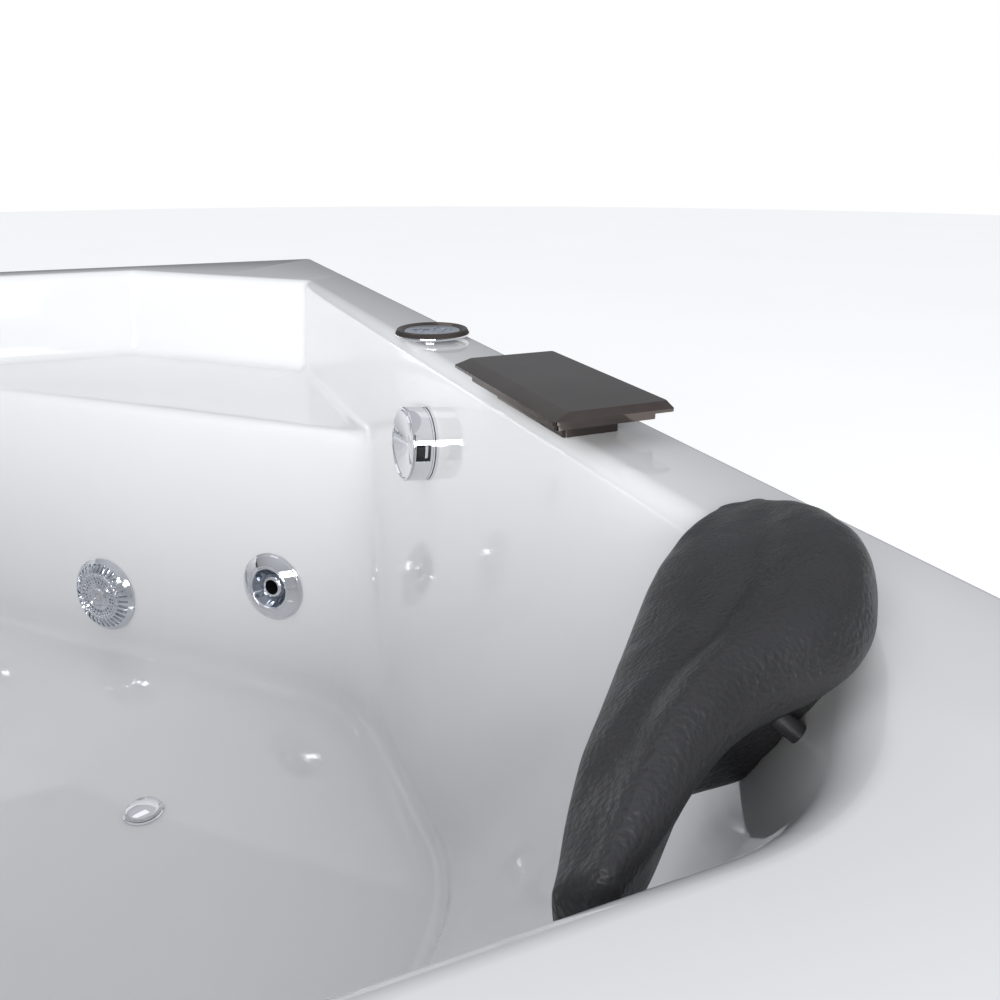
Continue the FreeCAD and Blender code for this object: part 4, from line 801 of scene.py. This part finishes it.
dark_chrome = finish("dark_chrome", ((0.135, 0.115, 0.105), (0.10, 0.086, 0.08), 20.0),
                     (0.04, 0.10, 60.0), (40.0, 0.03), {"Metallic": 1.0})
pad_profile = softened([(0, 563.6), (19, 563.6), (19, 600.1), (21, 600.1), (21, 603), (35, 603),
                        (36, 604), (36, 605.5), (33.8, 609.4), (32, 610), (30, 609), (27.2, 607),
                        (27.2, 605), (0, 605)], 0.6)


def on_bezel(r, z, angle):
    return z > 605.6 and r > 27.1


bezel = turned("pad_bezel", pad_profile, pad_place, 144, second=on_bezel)
smooth(bezel, 38)
piece("pad_bezel", bezel, [chrome, dark_chrome], stands_for=["pad_housing"])

display = finish("display_window", ((0.40, 0.45, 0.52), (0.34, 0.39, 0.47), 30.0), (0.08, 0.18, 60.0),
                 (60.0, 0.03), {"Coat Weight": 0.8, "Coat Roughness": 0.04})
icon_ink = finish("navy_ink", ((0.02, 0.03, 0.10), (0.03, 0.04, 0.13), 200.0), (0.3, 0.4, 90.0),
                  (300.0, 0.05))
window_profile = softened([(0, 605.1), (26.9, 605.1), (26.9, 607.5), (26.2, 608), (0, 608)], 0.4)
window = turned("pad_window", window_profile, pad_place, 128)
key_spots = [(-13, -2), (13, 4), (0, -13)]
key_places = [pad_place @ Matrix.Translation((x, y, 0)) for x, y in key_spots]
window = cut_out(window, [rod(3.9, 600, 612, place) for place in key_places])
smooth(window)
piece("pad_window", window, [display], stands_for=["pad_lens"])


def mark(loop, low=607.95, high=608.14):
    """A flat printed mark: a closed outline with a little height."""
    count = len(loop)
    points = [(x, y, low) for x, y in loop] + [(x, y, high) for x, y in loop]
    faces = [list(range(count))[::-1], list(range(count, 2 * count))]
    faces += [[k, (k + 1) % count, count + (k + 1) % count, count + k] for k in range(count)]
    return points, faces


def ray_mark(x, y, turn, near, far, half):
    """A short bar that points away from a middle."""
    along, across = (math.cos(turn), math.sin(turn)), (-math.sin(turn), math.cos(turn))
    return mark([(x + along[0] * d + across[0] * w, y + along[1] * d + across[1] * w)
                 for d, w in ((near, -half), (far, -half), (far, half), (near, half))])


def drop_mark(x, y, size):
    """A water drop."""
    belly = size * 0.62
    loop = [(x + belly * math.cos(t), y + belly * math.sin(t)) for t in np.linspace(-3.5, 0.4, 16)]
    return mark(loop + [(x, y + size * 1.5)])


icons = [ray_mark(-5, 3, k * math.pi / 4, 1.4, 3.4, 0.35) for k in range(8)]
icons += [drop_mark(4.5, 3.5, 2.0), drop_mark(9.0, 9.5, 1.4), drop_mark(-8, 10, 1.4)]
icons += [ray_mark(-17, 5, 0.0, 0, 6, 0.6), ray_mark(-17, 8, 0.0, 0, 4, 0.5)]
icons += [ray_mark(10, -5, 0.8, 0, 5, 0.5)]
icons += [mark([(x + 1.1 * math.cos(t), y + 1.1 * math.sin(t)) for t in np.linspace(0, 6.0, 12)])
          for x, y in ((-13, -8.5), (7, -12), (18, -4), (0, -6.5))]
points, faces = [], []
for shape, sides in icons:
    faces += [[len(points) + k for k in side] for side in sides]
    points += shape
printed = bpy.data.meshes.new("pad_icons")
printed.from_pydata(points, [], faces)
outward(printed)
printed.transform(pad_place)
piece("pad_icons", printed, [icon_ink])
key_rubber = finish("key_rubber", ((0.30, 0.34, 0.41), (0.26, 0.30, 0.37), 60.0), (0.35, 0.5, 90.0),
                    (500.0, 0.15))
for k, place in enumerate(key_places, 1):
    key_profile = [(0, 605.9), (1.6, 605.9), (1.6, 606.3), (3.5, 606.3), (3.6, 606.5), (3.6, 608.2)]
    key_profile += [(3.6 * math.cos(t), 608.2 + 0.6 * math.sin(t)) for t in (0.4, 0.8, 1.2)]
    key_profile.append((0, 608.8))
    button = turned(f"pad_button_{k}", key_profile, place, 48)
    smooth(button)
    piece(f"pad_button_{k}", button, [key_rubber], f"pad_key_{k}_body", [f"pad_key_{k}"])


# ---------------------------------------------------------------- spout
# A flat waterfall spout: a plate of brass with a wide bevel to the basin, plated dark.
# Water spreads in the slot under the plate, and a threaded shank holds it through the rim.

spout_x, spout_y = (658.0, 741.0), (-376.0, -207.0)
plate_z = (618.5, 625.0)


def box_rows(rows, corner=2.2, steps=5):
    """A closed body through level rounded rectangles: (x0, y0, x1, y1, height) from the foot up."""
    points, faces = [], []
    for x0, y0, x1, y1, z in rows:
        ends = [(x1 - corner, y1 - corner, 0), (x0 + corner, y1 - corner, 1),
                (x0 + corner, y0 + corner, 2), (x1 - corner, y0 + corner, 3)]
        for x, y, quarter in ends:
            for k in range(steps + 1):
                t = (quarter + k / steps) * math.pi / 2
                points.append((x + corner * math.cos(t), y + corner * math.sin(t), z))
    count = 4 * (steps + 1)
    for low in range(len(rows) - 1):
        faces += band(low, low + 1, count)
    faces.append(list(range(count))[::-1])
    faces.append(list(range((len(rows) - 1) * count, len(rows) * count)))
    mesh = bpy.data.meshes.new("box_rows")
    mesh.from_pydata(points, [], faces)
    outward(mesh)
    return mesh


def inset(front, other, z):
    return (spout_x[0] + front, spout_y[0] + other, spout_x[1] - other, spout_y[1] - other, z)


mid_x = sum(spout_x) / 2
stand_plan = (mid_x - 20, spout_y[0] + 30, mid_x + 20, spout_y[1] - 30)
tray_plan = (spout_x[0] + 8, spout_y[0] + 14, spout_x[1] - 4, spout_y[1] - 14)
slot_plan = (spout_x[0] - 4, spout_y[0] + 18, spout_x[1] - 10, spout_y[1] - 18)
plate = box_rows([(*stand_plan, 600.1), (*stand_plan, 610.5),
                  (*tray_plan, 610.5), (*tray_plan, plate_z[0]),
                  inset(0, 0, plate_z[0]), inset(0, 0, 620.5),
                  inset(11, 3.5, plate_z[1] - 0.02), inset(11.4, 3.9, plate_z[1])])
slit = bmesh.new()
slit.from_mesh(box_rows([(*slot_plan, 613.5), (*slot_plan, 618.4)], 1.0, 2))
plate = cut_out(plate, [slit])
rounded = bmesh.new()
rounded.from_mesh(plate)
rounded.normal_update()
sharp_edges = [edge for edge in rounded.edges
               if edge.is_manifold and edge.calc_face_angle() > math.radians(24)]
bmesh.ops.bevel(rounded, geom=sharp_edges, offset=0.35, segments=2, affect="EDGES", clamp_overlap=True)
rounded.to_mesh(plate)
rounded.free()
plate.transform(Matrix.Scale(mm, 4))
smooth(plate, 28)
piece("spout_plate", plate, [dark_chrome], stands_for=["spout_body"])
shank_profile = softened([(9, 522), (13, 522), (13, 600.4), (9, 600.4)], 0.6, True)
tube = turned("spout_shank", shank_profile, spout_place, 64)
smooth(tube)
piece("spout_shank", tube, [brass])


# ---------------------------------------------------------------- pillows
# Moulded neck pillows of black polyurethane foam with a pebbled skin, in the two seat corners.
# Each laps over the rim and is pressed on two studs through the backrest.

pillow_start, pillow_step = -99, 24      # the first section and the way between two, along the pillow
pillow_outer = (-54, -47, -40, -28, -8, 1, 3, 1, -7, -21, -44)
pillow_inner = (-73, -77, -80, -81, -82, -83, -84, -84, -82, -78, -70)
pillow_crest = (-6, 4, 14, 21, 26, 29, 31, 31, 28, 22, 12)
pillow_under = (-38, -43, -49, -55, -59, -59, -55, -48, -38, -24, -6)
pillow_heel = (2, 6, 12, 28, 42, 26, 4, 0, 0, 0, 0)
rim_clear = 0.3
nose_long = 5.0
crease_deep, crease_wide = 2.4, 7.0


def curve(a, b, c, d, t):
    """A place on the smooth curve between b and c, with their neighbours a and d."""
    square, cube = 2 * a - 5 * b + 4 * c - d, 3 * b - a - 3 * c + d
    return 0.5 * (2 * b + (c - a) * t + square * t ** 2 + cube * t ** 3)


def through_points(values, at):
    """A smooth curve through values at whole numbers."""
    last = len(values) - 1
    low = min(max(int(at), 0), last - 1)
    near = [values[k] for k in (max(low - 1, 0), low, low + 1, min(low + 2, last))]
    return curve(*near, at - low)


def ring_through(loop, per):
    """A smooth closed curve through the points of a loop."""
    loop = np.array(loop, float)
    found = []
    for k in range(len(loop)):
        a, b, c, d = (loop[(k + j) % len(loop)] for j in (-1, 0, 1, 2))
        for t in np.arange(per) / per:
            found.append(curve(a, b, c, d, t))
    return np.array(found)


def pillow_section(k, per=9):
    """Outline across the pillow at a place along it: (distance from the tub's middle, height)."""
    corner = (2 * side_at(rim_z) - seat_leg[0]) / math.sqrt(2) / mm
    outer, inner, crest, under, heel = (through_points(row, k) for row in (
        pillow_outer, pillow_inner, pillow_crest, pillow_under, pillow_heel))
    wide, tall = outer - inner, crest - under
    foot = 0.95 - max(heel, 0) / wide
    loop = [(0.04, 0.20), (-0.01, 0.40), (0, 0.60), (0.19, 0.75), (0.42, 0.86), (0.60, 0.96),
            (0.76, 1.0), (0.93, 0.93), (1.0, 0.74), (0.38 + 0.65 * foot, 0.42), (foot, 0.06),
            (0.78 * foot, 0), (0.45 * foot, 0), (0.18 * foot, 0.07)]
    shape = ring_through(loop, per)
    across, up = corner + inner + wide * shape[:, 0], rim_z / mm + under + tall * shape[:, 1]
    return np.stack([across, up], axis=1)


def pillow_mesh(name, flip):
    """Rows of sections from end to end, each end drawn in to a rounded nose."""
    rows = [(pillow_start + pillow_step * k, pillow_section(k)) for k in np.linspace(0, 10, 101)]
    for end, way in ((0, -1), (-1, 1)):
        along, last = rows[end]
        middle = last.mean(axis=0)
        for t in (0.35, 0.65, 0.88, 0.98):
            row = (along + way * nose_long * t, middle + (last - middle) * math.sqrt(1 - t * t))
            rows.insert(0 if way < 0 else len(rows), row)
    crease_u = (-99, -70, -39, 0, 32, 77, 110, 141)
    crease_d = (830, 836, 846, 857, 865, 865, 862, 858)
    count = len(rows[0][1])
    places = []
    for along, shape in rows:
        middle = shape.mean(axis=0)
        valley = np.interp(along, crease_u, crease_d)
        fade = min(1, max(0, (along + 92) / 30)) * min(1, max(0, (128 - along) / 30))
        top = shape[:, 1] > middle[1]
        dip = crease_deep * fade * np.exp(-((shape[:, 0] - valley) / crease_wide) ** 2) * top
        high = shape[:, 1] - dip
        turn = math.radians(315)
        x = shape[:, 0] * math.cos(turn) - along * math.sin(turn)
        y = shape[:, 0] * math.sin(turn) + along * math.cos(turn)
        places.append(np.stack([x, y, high], axis=1))
    flat = np.vstack(places) * mm
    for point in flat:
        at = Vector(point)
        point[2] += noise.noise(at * 60) * 0.0007 + noise.noise(at * 150) * 0.0002
    keep_clear(flat)
    points = [(p[1], p[0], p[2]) if flip else tuple(p) for p in flat]
    faces = []
    for low in range(len(rows) - 1):
        faces += band(low, low + 1, count)
    faces += [list(range(count)), list(range((len(rows) - 1) * count, len(rows) * count))]
    mesh = bpy.data.meshes.new(name)
    mesh.from_pydata(points, [], faces)
    outward(mesh)
    smooth(mesh, 60)
    return mesh


def keep_clear(points):
    """Rest the foam on the rim and against the wall instead of letting it pass through them."""
    edge = rim_z + rim_clear * mm
    plans = {}
    for point in points:
        if point[2] >= edge:
            continue
        level = round(min(point[2], rim_z), 3)
        if level not in plans:
            fillet = max(0.0, level - (rim_z - rim_round))
            round_off = rim_round - math.sqrt(max(rim_round ** 2 - fillet ** 2, 0.0))
            plans[level] = basin_plan(min(level, rim_z - rim_round), round_off - rim_clear * mm)
        angle = math.atan2(point[1], point[0]) % (2 * math.pi)
        far = math.hypot(point[0], point[1])
        limit = float(reach(plans[level], np.array([angle]))[0])
        if far <= limit:
            continue
        if far - limit < (edge - point[2]) * 1.6:
            point[0] *= limit / far
            point[1] *= limit / far
        else:
            point[2] = edge


def pebble_effect():
    """The pebbled skin of moulded foam, with slack folds here and there."""
    tree, given, out = effect("pebble", [("Grain", "Float", 520.0), ("Strength", "Float", 0.45),
                                         ("Folds", "Float", 0.22)], [("Normal", "Vector")])
    at = point_at(tree)
    cells = node(tree, "TexVoronoi", {"Vector": at, "Scale": given["Grain"], "Randomness": 1.0},
                 feature="SMOOTH_F1")
    fine = node(tree, "TexNoise", {"Vector": at, "Scale": given["Grain"], "Detail": 3.0})
    height = node(tree, "Math", {0: cells.outputs["Distance"], 1: fine.outputs["Fac"]}, operation="ADD")
    folds = node(tree, "TexNoise", {"Vector": at, "Scale": 34.0, "Detail": 6.0, "Distortion": 0.8})
    first = node(tree, "Bump", {"Height": folds.outputs["Fac"], "Strength": given["Folds"],
                                "Distance": 0.004})
    second = node(tree, "Bump", {"Height": height.outputs[0], "Strength": given["Strength"],
                                 "Distance": 0.0012, "Normal": first.outputs[0]})
    tree.links.new(second.outputs[0], out["Normal"])
    return tree


foam = finish("pebbled_foam", ((0.020, 0.020, 0.022), (0.031, 0.031, 0.034), 9.0), (0.36, 0.52, 40.0),
              (300.0, 0.1), {"Specular IOR Level": 0.5})
foam_tree = foam.node_tree
skin = node(foam_tree, "Group", node_tree=pebble_effect())
foam_tree.links.new(skin.outputs["Normal"], foam_tree.nodes["Principled BSDF"].inputs["Normal"])
for corner in ("near", "far"):
    name = "neck_pillow_" + corner
    mesh = pillow_mesh(name, corner == "far")
    cushion = piece(name, mesh, [foam], stands_for=["pillow_" + corner])
dress(black_plastic, "pillow_studs")


# ---------------------------------------------------------------- rim valves
# Hot and cold quarter-turn valves and the air control on the far rim, chromed brass.
# Their bodies pass through the rim and are nutted from below.

dress(chrome, "valve_bodies", "handle_hot", "handle_cold", "air_body", "air_knob")


# ---------------------------------------------------------------- pump and pipes
# A plastic pump on a flat base with a painted motor, in the space beside the basin.
# White pipes run to the jets, and a clear hose feeds them air.

grey_plastic = finish("grey_pump_plastic", ((0.34, 0.35, 0.36), (0.29, 0.30, 0.31), 22.0),
                      (0.35, 0.5, 60.0), (450.0, 0.2))
motor_paint = finish("motor_paint", ((0.05, 0.14, 0.30), (0.04, 0.11, 0.25), 25.0), (0.25, 0.4, 50.0),
                     (300.0, 0.18), {"Coat Weight": 0.3})
clear_hose = finish("clear_hose", ((0.72, 0.76, 0.78), (0.64, 0.69, 0.72), 20.0), (0.12, 0.25, 60.0),
                    (200.0, 0.1), {"Transmission Weight": 0.55, "IOR": 1.5})
dress(grey_plastic, "pump_housing", "impeller")
dress(motor_paint, "motor_body")
dress(black_plastic, "motor_cover", "pump_base")
dress(white_plastic, "pump_unions", "suction_pipe", "outlet_cross", "pressure_back", "pressure_front")
dress(clear_hose, "air_manifold")


# ---------------------------------------------------------------- studio
# A plain pale floor, one large soft light from the camera's side, a weak one overhead.
# The camera stands outside the near side and looks down across the basin to the back corner.

floor_paint = finish("pale_floor", ((0.90, 0.90, 0.90), (0.88, 0.88, 0.88), 1.0), (0.6, 0.8, 4.0),
                     (80.0, 0.03), {"Emission Color": (1, 1, 1, 1), "Emission Strength": 0.45})
ground = bmesh.new()
bmesh.ops.create_circle(ground, cap_ends=True, segments=96, radius=14.0)
ground_mesh = bpy.data.meshes.new("studio_floor")
ground.to_mesh(ground_mesh)
ground.free()
ground_mesh.materials.append(floor_paint)
studio_floor = bpy.data.objects.new("studio_floor", ground_mesh)
bpy.context.scene.collection.objects.link(studio_floor)


def soft_light(name, place, aim, size, power, colour=(1, 1, 1)):
    lamp = bpy.data.lights.new(name, "AREA")
    lamp.shape, lamp.size, lamp.size_y = "RECTANGLE", size[0], size[1]
    lamp.energy, lamp.color = power, colour
    holder = bpy.data.objects.new(name, lamp)
    bpy.context.scene.collection.objects.link(holder)
    holder.location = place
    holder.rotation_euler = (Vector(aim) - Vector(place)).to_track_quat("-Z", "Y").to_euler()


soft_light("key_light", (-1.3, -3.0, 1.35), (0.30, 0.20, 0.30), (3.0, 1.5), 150)
soft_light("top_light", (-0.3, 0.9, 3.0), (0.2, 0.1, 0.2), (2.4, 1.2), 5)

world = bpy.data.worlds.new("studio_air")
bpy.context.scene.world = world
world.use_nodes = True
air = world.node_tree
up = node(air, "SeparateXYZ", {0: node(air, "TexCoord").outputs["Generated"]})
height = node(air, "MapRange", {"Value": up.outputs["Z"], "From Min": -0.1, "From Max": 0.7})
glow = blended(air, height.outputs[0], (0.10, 0.105, 0.11, 1), (0.58, 0.59, 0.62, 1))
seen = node(air, "LightPath").outputs["Is Camera Ray"]
backdrop = air.nodes["Background"]
air.links.new(blended(air, seen, glow, (1, 1, 1, 1)), backdrop.inputs["Color"])
backdrop.inputs["Strength"].default_value = 1.0

camera = bpy.data.cameras.new("camera")
camera.lens, camera.sensor_width = 32.4, 36.0
camera.clip_start = 0.02
view = bpy.data.objects.new("camera", camera)
bpy.context.scene.collection.objects.link(view)
view.location = (0.433, -0.829, 0.767)
view.rotation_euler = (math.radians(90 - 21.08), 0, -math.atan2(0.388, 0.921))
bpy.context.scene.camera = view
bpy.context.scene.view_settings.view_transform = "Standard"
